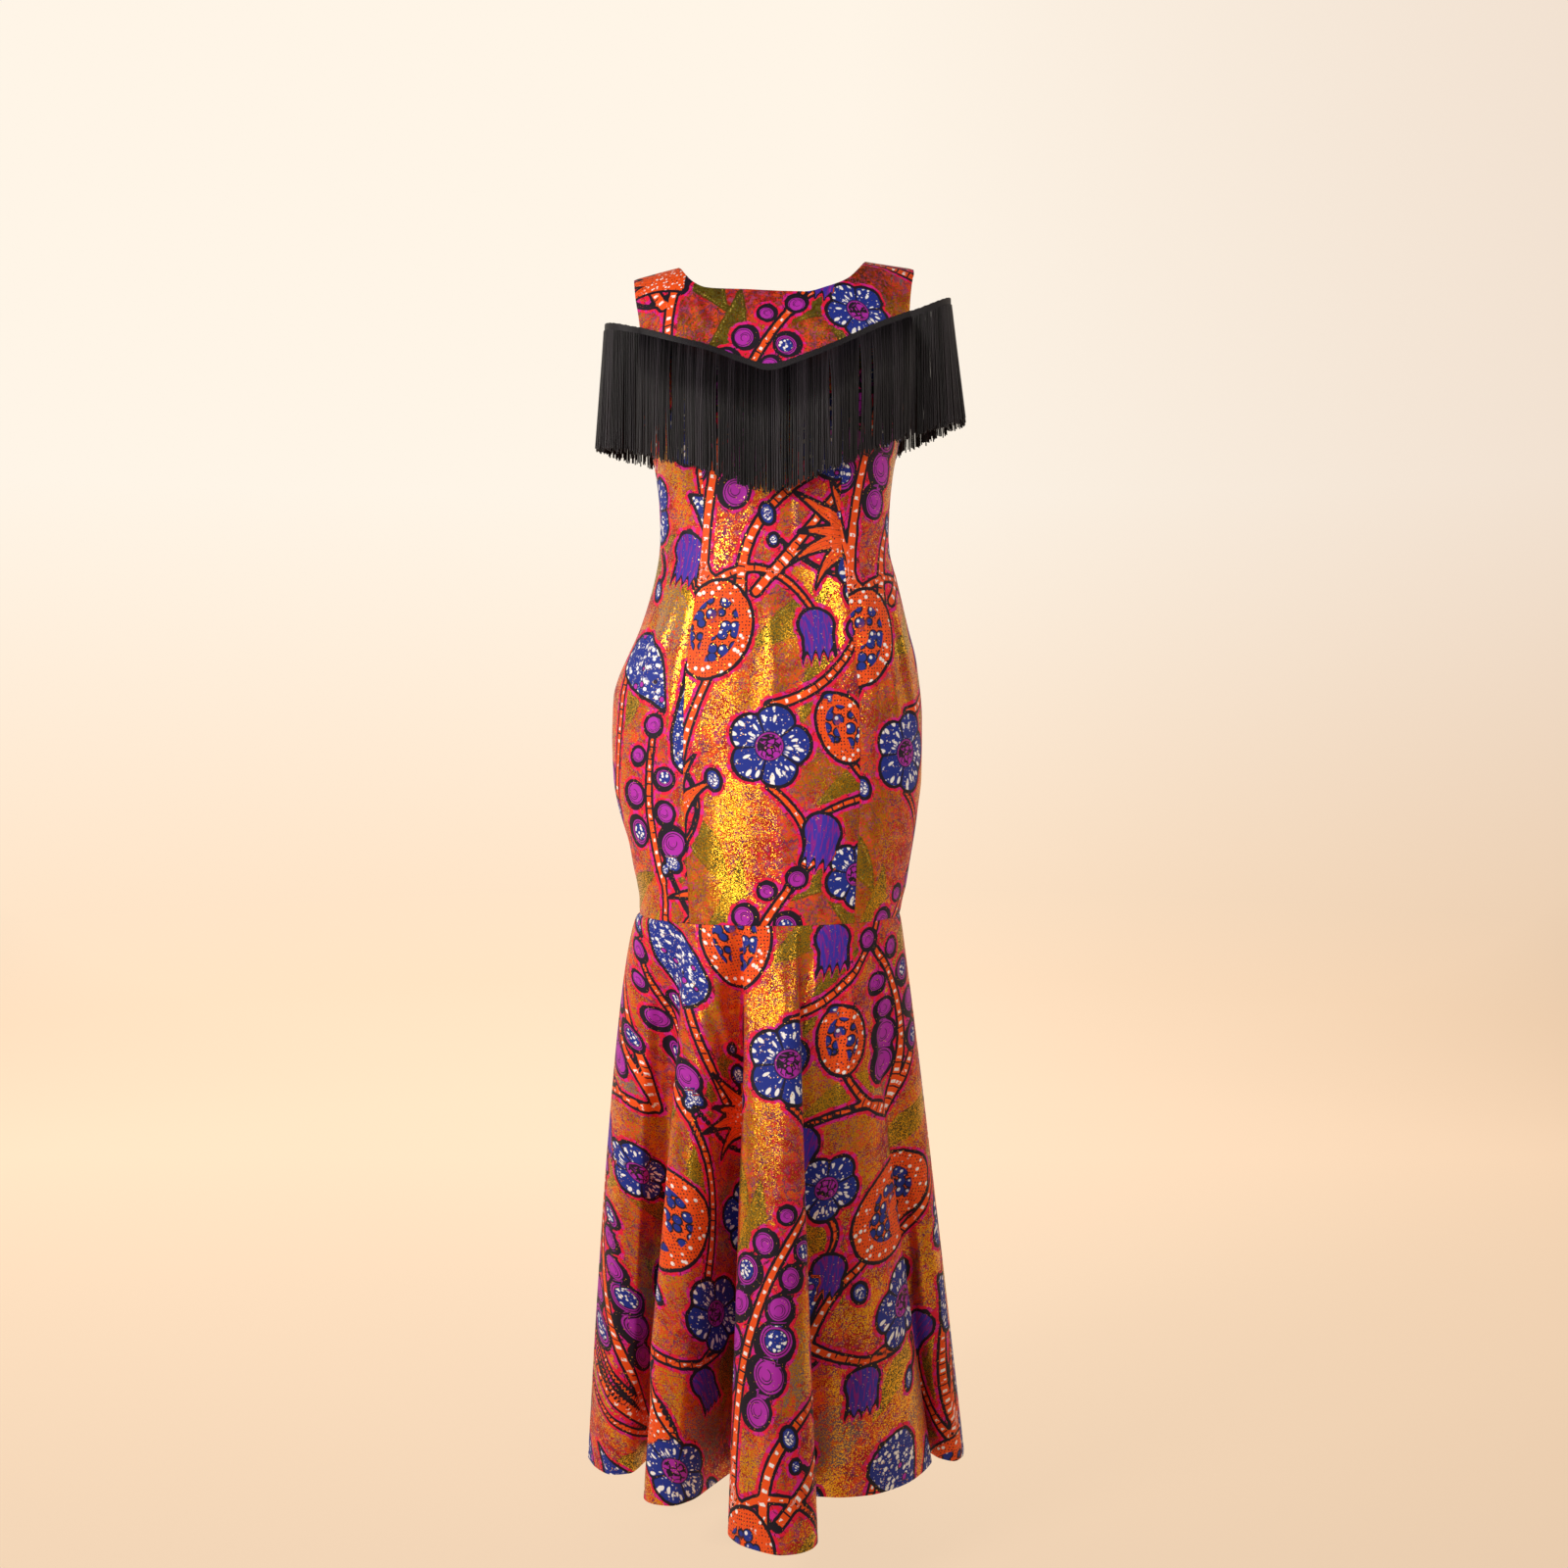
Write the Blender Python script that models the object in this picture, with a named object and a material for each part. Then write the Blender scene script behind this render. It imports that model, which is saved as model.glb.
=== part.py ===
"""Sleeveless trumpet dress in wax-print cotton with a fringe trim, in the hollow shape it has when worn.

Metres, +Z up, the front faces -Y and +X is the wearer's left. The origin is midway between the shoulders, at the
height where the dress hangs on them. Every wall is a closed shell between an outer and an inner grid of points.
"""

import bpy
import numpy as np

WALL = 0.0013  # a cloth wall; the real cotton is 0.3 mm
GAP = 0.0003  # between the pieces at a seam
KNEE_Z = -0.758  # the seam between the body and the flare
HEM_Z = -1.402
UNDERARM_Z = -0.185
YOKE_Z = -0.100  # the princess seams meet the armholes here
ROLL_Z = -0.095  # above this the chest and back curve over to the shoulder seam
ARMHOLE_DEEP_Z = -0.110  # the armhole is widest at this height
ARMHOLE_SHARE = 0.60  # its width there, as a share of the chest's depth
BUST = (0.080, -0.172, 0.024, 0.042, 0.050)  # x, z, height, spread in x, spread in z
NECK_X = 0.1077  # from the centre to where the neckline meets the shoulder seam
FACING_DEPTH = 0.042
FACING_CLEAR = 0.0006
FACING_THICK = 0.0011

TRIM_TALL = 0.009
TRIM_THICK = 0.0016
TRIM_CLEAR = 0.0016
STRANDS = 190
STRAND_LONG = 0.138
STRAND_BEND = 0.34  # a strand bends this far down its length
STRAND_CLEAR = 0.0030

# The body: height, half width on the wearer's right (-X) and left (+X), depth in front, depth behind, squareness.
BODY = [
    (-0.7600, 0.1552, 0.1490, 0.118, 0.100, 2.2),
    (-0.7406, 0.1553, 0.1525, 0.118, 0.102, 2.2),
    (-0.7245, 0.1576, 0.1565, 0.118, 0.105, 2.2),
    (-0.7030, 0.1622, 0.1599, 0.118, 0.109, 2.2),
    (-0.6760, 0.1672, 0.1645, 0.119, 0.115, 2.2),
    (-0.6540, 0.1737, 0.1679, 0.120, 0.121, 2.2),
    (-0.6350, 0.1794, 0.1702, 0.120, 0.126, 2.2),
    (-0.6000, 0.1852, 0.1742, 0.121, 0.134, 2.2),
    (-0.5520, 0.1869, 0.1748, 0.122, 0.140, 2.2),
    (-0.5290, 0.1863, 0.1748, 0.122, 0.140, 2.2),
    (-0.5050, 0.1850, 0.1733, 0.122, 0.138, 2.2),
    (-0.4840, 0.1794, 0.1708, 0.122, 0.133, 2.2),
    (-0.4600, 0.1690, 0.1673, 0.121, 0.126, 2.2),
    (-0.4280, 0.1546, 0.1590, 0.117, 0.113, 2.2),
    (-0.3930, 0.1430, 0.1507, 0.111, 0.098, 2.2),
    (-0.3670, 0.1363, 0.1445, 0.106, 0.088, 2.2),
    (-0.3380, 0.1315, 0.1370, 0.103, 0.081, 2.2),
    (-0.3186, 0.1305, 0.1357, 0.102, 0.080, 2.2),
    (-0.2850, 0.1315, 0.1370, 0.105, 0.083, 2.2),
    (-0.2460, 0.1360, 0.1410, 0.112, 0.088, 2.25),
    (-0.2150, 0.1420, 0.1470, 0.117, 0.093, 2.3),
    (-0.1850, 0.1490, 0.1530, 0.117, 0.098, 2.35),
    (-0.1600, 0.1475, 0.1520, 0.114, 0.100, 2.4),
    (-0.1300, 0.1470, 0.1520, 0.108, 0.100, 2.4),
    (-0.1000, 0.1490, 0.1540, 0.100, 0.098, 2.4),
    (-0.0750, 0.1520, 0.1565, 0.093, 0.094, 2.4),
    (-0.0500, 0.1565, 0.1585, 0.087, 0.089, 2.4),
    (-0.0300, 0.1592, 0.1610, 0.085, 0.086, 2.4),
    (-0.0150, 0.1612, 0.1640, 0.085, 0.085, 2.4),
    (0.0300, 0.1615, 0.1646, 0.085, 0.085, 2.4),
]

# Height of a row of points and how far the princess seam is from the centre there.
PRINCESS = [
    (-0.760, 0.0925),
    (-0.690, 0.0960),
    (-0.600, 0.0990),
    (-0.520, 0.0985),
    (-0.460, 0.0940),
    (-0.400, 0.0870),
    (-0.360, 0.0820),
    (-0.320, 0.0780),
    (-0.280, 0.0770),
    (-0.246, 0.0790),
    (-0.200, 0.0840),
    (-0.172, 0.0885),
    (-0.150, 0.0965),
    (-0.132, 0.1080),
    (-0.116, 0.1240),
    (-0.104, 0.1430),
    (-0.100, 0.1520),
]

# Heights of the rows of points that every body panel has up to the yoke.
ROWS = [
    -0.725, -0.690, -0.650, -0.605, -0.560, -0.515, -0.474, -0.434, -0.394, -0.354, -0.318, -0.282, -0.248, -0.216,
    -0.185, -0.180, -0.168, -0.150, -0.130, -0.113, -0.104,
]

SHOULDER_LINE = [(-0.1660, -0.0222), (-0.1077, -0.0072), (0.0, 0.0180), (0.1077, -0.0002), (0.1700, -0.0090)]
FRONT_NECK = [
    (-0.1077, -0.0072), (-0.0990, -0.0217), (-0.0900, -0.0324), (-0.0760, -0.0406), (-0.0600, -0.0430),
    (-0.0240, -0.0450), (0.0140, -0.0472), (0.0380, -0.0475), (0.0620, -0.0405), (0.0860, -0.0290),
    (0.1015, -0.0110), (0.1077, -0.0002),
]
BACK_NECK = [
    (-0.1077, -0.0072), (-0.1000, -0.0140), (-0.0800, -0.0205), (-0.0400, -0.0245), (0.0, -0.0255),
    (0.0400, -0.0235), (0.0800, -0.0165), (0.1000, -0.0080), (0.1077, -0.0002),
]

# The flare's folds: where a point leaves the knee seam (degrees round from the front, towards +X), where it reaches
# the hem (X, Y in mm), and how it spreads on the way down (1 is straight, less flares out sooner).
FRONT_FOLDS = [
    (-90.0, -218, 0, 0.55), (-78.0, -192, -9, 0.55), (-66.0, -165, -20, 0.60), (-56.0, -142, -42, 0.80),
    (-47.0, -120, -52, 1.00), (-40.0, -126, -78, 1.00), (-34.0, -142, -101, 1.00), (-29.5, -134, -119, 1.00),
    (-24.5, -108, -130, 1.00), (-20.5, -85, -128, 1.00), (-17.0, -62, -111, 1.00), (-14.5, -42, -86, 1.00),
    (-12.8, -25, -68, 1.00), (-11.5, -28, -110, 1.00), (-10.3, -42, -160, 1.00), (-9.3, -47, -193, 1.00),
    (-7.0, -38, -216, 1.00), (-3.5, -17, -234, 1.00), (1.0, 10, -246, 1.00), (4.5, 27, -243, 1.00),
    (8.0, 45, -229, 1.00), (10.0, 50, -212, 1.00), (11.0, 47, -175, 1.00), (12.0, 38, -135, 1.00),
    (13.2, 31, -109, 1.00), (14.8, 46, -106, 1.00), (18.5, 75, -109, 1.00), (24.0, 110, -103, 1.00),
    (29.0, 134, -90, 1.00), (34.0, 158, -68, 1.00), (38.0, 179, -34, 1.00), (40.5, 187, -12, 1.00),
    (44.0, 178, 6, 1.00), (49.0, 171, 14, 1.00), (55.0, 182, 15, 1.00), (63.0, 197, -5, 0.98),
    (75.0, 213, -13, 0.94), (90.0, 225, 0, 0.90),
]
BACK_FOLDS = [
    (90.0, 225, 0, 0.90), (100.0, 228, 26, 0.90), (109.0, 214, 52, 0.95), (117.0, 186, 60, 1.00),
    (125.0, 160, 70, 1.00), (132.0, 157, 98, 1.00), (138.0, 168, 134, 1.00), (144.0, 160, 166, 1.00),
    (150.0, 134, 182, 1.00), (156.0, 104, 172, 1.00), (161.0, 84, 142, 1.00), (165.0, 72, 112, 1.00),
    (169.0, 58, 118, 1.00), (172.0, 49, 150, 1.00), (175.5, 43, 190, 1.00), (179.0, 26, 222, 1.00),
    (183.0, -4, 233, 1.00), (187.0, -32, 222, 1.00), (190.0, -48, 192, 1.00), (193.0, -54, 152, 1.00),
    (196.0, -62, 120, 1.00), (200.0, -78, 107, 1.00), (204.0, -94, 126, 1.00), (209.0, -110, 160, 1.00),
    (215.0, -134, 182, 1.00), (221.0, -159, 174, 1.00), (227.0, -172, 146, 1.00), (233.0, -168, 112, 1.00),
    (240.0, -160, 84, 0.95), (247.0, -172, 66, 0.85), (255.0, -196, 52, 0.70), (263.0, -216, 28, 0.60),
    (270.0, -218, 0, 0.55),
]

# The trim's top edge across the front and back, X and height, and where it passes outside each upper arm.
TRIM_FRONT = [
    (-0.1500, -0.0855), (-0.1130, -0.0985), (-0.0700, -0.1125), (-0.0300, -0.1275), (-0.0040, -0.1345),
    (0.0380, -0.1220), (0.0760, -0.1060), (0.1150, -0.0850), (0.1560, -0.0660),
]
TRIM_BACK = [(-0.1500, -0.0860), (-0.0750, -0.1080), (0.0, -0.1160), (0.0750, -0.1020), (0.1560, -0.0700)]
TRIM_ARM = {-1: (-0.1935, -0.0740), 1: (0.2065, -0.0430)}  # X, height
TRIM_SPLAY = {-1: 0.009, 1: 0.016}  # how far the strands over the arm swing out by their tips

COTTON = (0.75, 0.22, 0.06, 1.0)
BLACK = (0.012, 0.011, 0.012, 1.0)


def smooth(table, column, at):
    """Reads a table's column at any place along its first column, with no overshoot between the rows."""
    rows = np.array(table, float)
    x, y = rows[:, 0], rows[:, column]
    h, slope = np.diff(x), np.diff(y) / np.diff(x)
    turn = np.zeros(len(x))
    same = slope[:-1] * slope[1:] > 0
    w1, w2 = 2 * h[1:] + h[:-1], h[1:] + 2 * h[:-1]
    a, b = np.where(same, slope[:-1], 1.0), np.where(same, slope[1:], 1.0)
    turn[1:-1] = np.where(same, (w1 + w2) / (w1 / a + w2 / b), 0.0)
    turn[0], turn[-1] = slope[0], slope[-1]
    at = np.clip(at, x[0], x[-1])
    i = np.clip(np.searchsorted(x, at, side="right") - 1, 0, len(x) - 2)
    t = (at - x[i]) / h[i]
    return (
        y[i] * (1 + 2 * t) * (1 - t) ** 2
        + turn[i] * h[i] * t * (1 - t) ** 2
        + y[i + 1] * t**2 * (3 - 2 * t)
        + turn[i + 1] * h[i] * t**2 * (t - 1)
    )


def armhole_share(z):
    """How much of the chest's depth the armhole's edge has at a height: none below the underarm."""
    down = np.clip((z - ARMHOLE_DEEP_Z) / (UNDERARM_Z - ARMHOLE_DEEP_Z), 0, 1)
    return ARMHOLE_SHARE * np.sqrt(1 - down**2)


def body(face, k, z):
    """A point of the body's outer face. face is -1 in front and 1 behind; k is -1 at the wearer's right side or
    armhole, 0 at the centre and 1 at the left."""
    k, z = np.broadcast_arrays(np.asarray(k, float), np.asarray(z, float))
    half = np.where(k < 0, smooth(BODY, 1, z), smooth(BODY, 2, z))
    deep = smooth(BODY, 3 if face < 0 else 4, z)
    square = smooth(BODY, 5, z)
    reach = (1 - armhole_share(z) ** square) ** (1 / square)  # sine of the edge's angle
    turn = k * np.arcsin(reach)
    x = half / reach * np.sin(turn)
    y = deep * (1 - np.abs(np.sin(turn)) ** square) ** (1 / square)
    over = np.clip((z - ROLL_Z) / (smooth(SHOULDER_LINE, 1, x) - ROLL_Z), 0, 1)
    y = y * np.sqrt(1 - over**2)
    if face < 0:
        bx, bz, high, sx, sz = BUST
        y = y + high * np.exp(-(((np.abs(x) - bx) / sx) ** 2) - ((z - bz) / sz) ** 2) * np.sqrt(1 - over**2) * (
            1 - np.abs(k) ** 6
        )
    return np.stack([x, face * y, z + 0 * x], axis=-1)


def outward(face, k, z):
    """The body's unit normal at a point, from points close round it."""
    dk, dz = 0.004, 0.0008
    low, high = np.clip(k - dk, -1, 1), np.clip(k + dk, -1, 1)
    across = body(face, high, z) - body(face, low, z)
    up = body(face, k, z) - body(face, k, z - dz)
    n = np.cross(across, up) * -face
    return n / np.maximum(np.linalg.norm(n, axis=-1, keepdims=True), 1e-12)


def seam_k(z, side):
    """k of the princess seam at a height on one side."""
    half = smooth(BODY, 1 if side < 0 else 2, z)
    square = smooth(BODY, 5, z)
    reach = (1 - armhole_share(z) ** square) ** (1 / square)
    share = np.minimum(smooth(PRINCESS, 1, z) / half, 1.0)
    return np.minimum(np.arcsin(share * reach) / np.arcsin(reach), 1.0)


def top_of(face, k):
    """The height of the neckline or shoulder seam on the line of constant k."""
    neck = FRONT_NECK if face < 0 else BACK_NECK
    low, high = np.full(np.shape(k), YOKE_Z), np.full(np.shape(k), 0.018)
    for _ in range(40):
        mid = (low + high) / 2
        x = body(face, k, mid)[..., 0]
        edge = np.where(np.abs(x) < NECK_X, smooth(neck, 1, x), smooth(SHOULDER_LINE, 1, x))
        low, high = np.where(mid < edge, mid, low), np.where(mid < edge, high, mid)
    return low


def neck_k(face, side):
    """k of the line that reaches the shoulder seam where the neckline does."""
    low, high = 0.3, 1.0
    for _ in range(40):
        mid = (low + high) / 2
        z = smooth(SHOULDER_LINE, 1, np.array(side * NECK_X))
        low, high = (mid, high) if abs(body(face, side * mid, z)[0]) < NECK_X else (low, mid)
    return high


def yoke_heights(face, k, top):
    """Heights from the yoke to the top on the line of constant k: evenly spaced along the cloth down to the depth of
    the neck facing, and again from there."""
    fine = YOKE_Z + (top - YOKE_Z) * np.sin(np.linspace(0, np.pi / 2, 160))
    line = body(face, np.full(160, k), fine)
    along = np.concatenate([[0], np.cumsum(np.linalg.norm(np.diff(line, axis=0), axis=1))])
    depth = min(FACING_DEPTH, 0.8 * along[-1])
    marks = np.concatenate([np.linspace(0, along[-1] - depth, 5)[:-1], np.linspace(along[-1] - depth, along[-1], 5)])
    return np.interp(marks, along, fine)


def columns_of(face):
    """The values of k that the grids above the yoke have, with one at each end of the neckline."""
    right, left = -neck_k(face, -1), neck_k(face, 1)
    strap, neck = np.array([0, 0.5, 1]), np.array([0, 0.22, 0.42, 0.60, 0.76, 0.88, 0.95, 1])
    return np.unique(np.concatenate([right - (1 + right) * strap, right * neck, left * neck, left + (1 - left) * strap]))


def yoke(face):
    """The grid of k and heights above the yoke, and which columns end on the shoulder seam."""
    u = columns_of(face)
    z = np.stack([yoke_heights(face, a, b) for a, b in zip(u, top_of(face, u))], axis=1)
    on_seam = (u >= neck_k(face, 1) - 1e-6) | (u <= -neck_k(face, -1) + 1e-6)
    return np.repeat(u[None], len(z), axis=0), z, on_seam


def into_cloth(face, k, z):
    """The way through the cloth at each point of a grid: level low down, and square to it round the shoulders."""
    n = outward(face, k, z)
    flat = n * [1, 1, 0]
    flat = flat / np.linalg.norm(flat, axis=-1, keepdims=True)
    blend = np.clip((z + 0.16) / 0.05, 0, 1)[..., None]
    n = n * blend + flat * (1 - blend)
    at_shoulder = (np.abs(body(face, k, z)[..., 1:2]) < 2e-4) & (z[..., None] > -0.03)
    at_side = (np.abs(np.abs(k) - 1) < 1e-9)[..., None] & (z[..., None] < UNDERARM_Z + 1e-6)
    n = np.where(at_shoulder, n * [1, 0, 1], np.where(at_side, n * [1, 0, 0], n))
    return -n / np.linalg.norm(n, axis=-1, keepdims=True)


def wall(face, k, z):
    """The outer and inner grids of a body panel."""
    outer = body(face, k, z)
    return outer, outer + into_cloth(face, k, z) * WALL


def shifted(grid, column, toward, by):
    """The grid with one edge column drawn in along its rows by a distance, for the gap at a seam."""
    step = grid[:, toward] - grid[:, column]
    step = step / np.linalg.norm(step, axis=1, keepdims=True)
    grid = grid.copy()
    grid[:, column] += step * np.asarray(by).reshape(-1, 1)
    return grid


def solid(name, outer, inner, colour, rough):
    """A closed shell from two grids of points."""
    rows, cols = outer.shape[:2]
    count = rows * cols
    points = np.concatenate([outer.reshape(-1, 3), inner.reshape(-1, 3)])
    at = lambda r, c: r * cols + c
    faces = []
    for r in range(rows - 1):
        for c in range(cols - 1):
            a, b, d, e = at(r, c), at(r, c + 1), at(r + 1, c + 1), at(r + 1, c)
            faces.append([a, b, d, e])
            faces.append([a + count, e + count, d + count, b + count])
    rim = [at(0, c) for c in range(cols)]
    rim += [at(r, cols - 1) for r in range(1, rows)]
    rim += [at(rows - 1, c) for c in range(cols - 2, -1, -1)]
    rim += [at(r, 0) for r in range(rows - 2, 0, -1)]
    for a, b in zip(rim, rim[1:] + rim[:1]):
        faces.append([b, a, a + count, b + count])
    return finish(name, points, faces, colour, rough)


def finish(name, points, faces, colour, rough):
    """Makes the object from points and faces, wound outward, with its own material."""
    triangles = [(f[0], f[i], f[i + 1]) for f in faces for i in range(1, len(f) - 1)]
    t = np.array(triangles)
    volume = (points[t[:, 0]] * np.cross(points[t[:, 1]], points[t[:, 2]])).sum() / 6
    if volume < 0:
        triangles = [(c, b, a) for a, b, c in triangles]
    mesh = bpy.data.meshes.new(name)
    mesh.from_pydata(points.tolist(), [], triangles)
    mesh.validate()
    material = bpy.data.materials.new(name)
    material.use_nodes = True
    shader = material.node_tree.nodes["Principled BSDF"]
    shader.inputs["Base Color"].default_value = colour
    shader.inputs["Roughness"].default_value = rough
    mesh.materials.append(material)
    node = bpy.data.objects.new(name, mesh)
    bpy.context.scene.collection.objects.link(node)
    return node


def panel_rows():
    return np.array([KNEE_Z + GAP / 2] + ROWS)


def seam_shift(heights):
    """How far the edge at a princess seam is drawn in, more where the seam slants."""
    return 0.5 * GAP * np.sqrt(1 + np.gradient(smooth(PRINCESS, 1, heights), heights) ** 2)


def front_centre():
    """The centre front: between the princess seams, and the whole chest above the yoke."""
    lower = panel_rows()
    top_k, top_z, on_seam = yoke(-1)
    u = top_k[0]
    k = np.stack([np.where(u < 0, u * seam_k(z, -1), u * seam_k(z, 1)) for z in lower])
    k = np.concatenate([k, top_k])
    z = np.concatenate([np.repeat(lower[:, None], len(u), axis=1), top_z])
    by = np.concatenate([seam_shift(lower), np.zeros(len(top_z))])
    grids = [shifted(shifted(g, 0, 1, by), -1, -2, by) for g in wall(-1, k, z)]
    for g in grids:
        g[-1, on_seam, 1] = -GAP / 2
    return solid("front_centre", *grids, COTTON, 0.7)


def front_side(name, side):
    """A side front: from the princess seam to the side seam and the lower armhole."""
    lower = panel_rows()
    v = np.linspace(0, 1, 6)
    start = seam_k(lower, side)
    k = side * (start[:, None] + v[None] * (1 - start[:, None]))
    z = np.repeat(lower[:, None], len(v), axis=1)
    grids = [shifted(g, 0, 1, seam_shift(lower)) for g in wall(-1, k, z)]
    for g in grids:
        g[lower < UNDERARM_Z + 1e-6, -1, 1] = -GAP / 2
    return solid(name, *grids, COTTON, 0.7)


def back_panel(name, side):
    """A back panel: from the centre back seam to the side seam, the armhole and the shoulder."""
    lower = panel_rows()
    top_k, top_z, on_seam = yoke(1)
    mine = top_k[0] * side >= -1e-9
    u, top_z, on_seam = top_k[0, mine], top_z[:, mine], on_seam[mine]
    centre, outside = (0, -1) if side > 0 else (-1, 0)
    k = np.repeat(u[None], len(lower) + len(top_z), axis=0)
    z = np.concatenate([np.repeat(lower[:, None], len(u), axis=1), top_z])
    grids = wall(1, k, z)
    for g in grids:
        g[:, centre, 0] = side * GAP / 2
        g[: len(lower)][lower < UNDERARM_Z + 1e-6, outside, 1] = GAP / 2
        g[-1, on_seam, 1] = GAP / 2
    return solid(name, *grids, COTTON, 0.7)


def skirt(name, face, folds, columns):
    """Half of the flare: straight lines run down from the knee seam to the folded hem."""
    rows = np.array(folds, float)
    order = np.arange(len(rows))
    table = np.column_stack([order, rows])
    fine = np.linspace(0, len(rows) - 1, 1200)
    hem = np.stack([smooth(table, 2, fine), smooth(table, 3, fine)], axis=1) / 1000
    along = np.concatenate([[0], np.cumsum(np.linalg.norm(np.diff(hem, axis=0), axis=1))])
    u = np.interp(np.linspace(0, along[-1], columns), along, fine)
    angle = np.radians(smooth(table, 1, u))
    knee = body(face, (angle if face < 0 else np.pi - angle) / (np.pi / 2), np.full(columns, KNEE_Z))
    foot = np.stack([smooth(table, 2, u), smooth(table, 3, u)], axis=1) / 1000
    spread = smooth(table, 4, u)
    t = np.array([0, 0.03, 0.09, 0.19, 0.33, 0.50, 0.75, 1.0])
    share = t[:, None] ** spread[None]
    outer = np.zeros((len(t), columns, 3))
    outer[..., :2] = knee[None, :, :2] + (foot - knee[:, :2])[None] * share[..., None]
    top = KNEE_Z - GAP / 2
    outer[..., 2] = top + (HEM_Z - top) * t[:, None]
    across = np.gradient(outer, axis=1)[..., :2]
    n = np.stack([across[..., 1], -across[..., 0]], axis=-1)
    n = n / np.linalg.norm(n, axis=-1, keepdims=True)
    n[:, [0, -1]] = [[-1, 0], [1, 0]] if face < 0 else [[1, 0], [-1, 0]]
    inner = outer.copy()
    inner[..., :2] -= n * WALL
    for g in (outer, inner):
        g[:, [0, -1], 1] = face * GAP / 2
    return solid(name, outer, inner, COTTON, 0.7)


def facing(name, face):
    """The black facing inside the neck and the inner half of the straps."""
    k, z, on_seam = yoke(face)
    k, z, on_seam = k[-5:, 1:-1], z[-5:, 1:-1], on_seam[1:-1]
    outer, through = body(face, k, z), into_cloth(face, k, z)
    grids = [outer + through * (WALL + FACING_CLEAR), outer + through * (WALL + FACING_CLEAR + FACING_THICK)]
    for g in grids:
        g[-1, on_seam, 1] = face * GAP / 2
    return solid(name, *grids, BLACK, 0.8)


def cloth_depth(face, x, z):
    """How far in front of or behind the side seams the body's outer face is at X and a height."""
    half = smooth(BODY, 1 if x < 0 else 2, np.array(z))
    if abs(x) >= half:
        return 0.0
    ks = np.linspace(0, 1, 60) * (1 if x >= 0 else -1)
    line = body(face, ks, np.full(60, z))
    return float(np.interp(abs(x), np.abs(line[:, 0]), np.abs(line[:, 1])))


def trim_path():
    """Points once round the trim's top edge with the way out from the body at each, evenly spaced."""
    loop = []
    for x in np.linspace(-0.150, 0.156, 90):
        z = float(smooth(TRIM_FRONT, 1, np.array(x)))
        loop.append((x, -cloth_depth(-1, x, z) - TRIM_CLEAR, z, 0.0, -1.0))
    for side, face_from, face_to in ((1, -1, 1), (-1, 1, -1)):
        arm_x, arm_z = TRIM_ARM[side]
        start_x = 0.156 if side > 0 else -0.150
        front_z = float(smooth(TRIM_FRONT, 1, np.array(start_x)))
        back_z = float(smooth(TRIM_BACK, 1, np.array(start_x)))
        front_y = cloth_depth(-1, start_x, front_z) + TRIM_CLEAR
        back_y = cloth_depth(1, start_x, back_z) + TRIM_CLEAR
        for turn in np.linspace(-88, 88, 60) * face_to:
            a = np.radians(turn)
            deep, edge_z = (front_y, front_z) if a < 0 else (back_y, back_z)
            x = start_x + (arm_x - start_x) * np.cos(a) ** 0.8
            z = edge_z + (arm_z - edge_z) * np.cos(a)
            loop.append((x, deep * np.sin(a), z, side * np.cos(a), np.sin(a)))
        if side > 0:
            for x in np.linspace(0.156, -0.150, 90):
                z = float(smooth(TRIM_BACK, 1, np.array(x)))
                loop.append((x, cloth_depth(1, x, z) + TRIM_CLEAR, z, 0.0, 1.0))
    loop = np.array(loop)
    ends = np.concatenate([loop, loop[:1]])
    along = np.concatenate([[0], np.cumsum(np.linalg.norm(np.diff(ends[:, :3], axis=0), axis=1))])
    at = np.linspace(0, along[-1], STRANDS + 1)[:-1]
    path = np.stack([np.interp(at, along, ends[:, i]) for i in range(5)], axis=1)
    path[:, 3:] /= np.linalg.norm(path[:, 3:], axis=1, keepdims=True)
    return path


def clear_of_body(root, out, long):
    """How far out a strand is at each of its bends, hanging straight down where the body doesn't hold it off."""
    face = -1 if root[1] < 0 else 1
    steps = np.linspace(0.04, 1, 25)
    need = np.zeros(25)
    for i, step in enumerate(steps):
        depth = cloth_depth(face, root[0] + out[0] * 0.004, root[2] - long * step)
        if depth > 0:
            need[i] = max(0.0, (depth + STRAND_CLEAR - abs(root[1])) / max(abs(out[1]), 0.3))
    above = steps <= STRAND_BEND
    first = max(0.0, (need[above] * STRAND_BEND / steps[above]).max())
    last = first + (need[~above] - first) * (1 - STRAND_BEND) / (steps[~above] - STRAND_BEND)
    return first, max(first, last.max())


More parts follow.
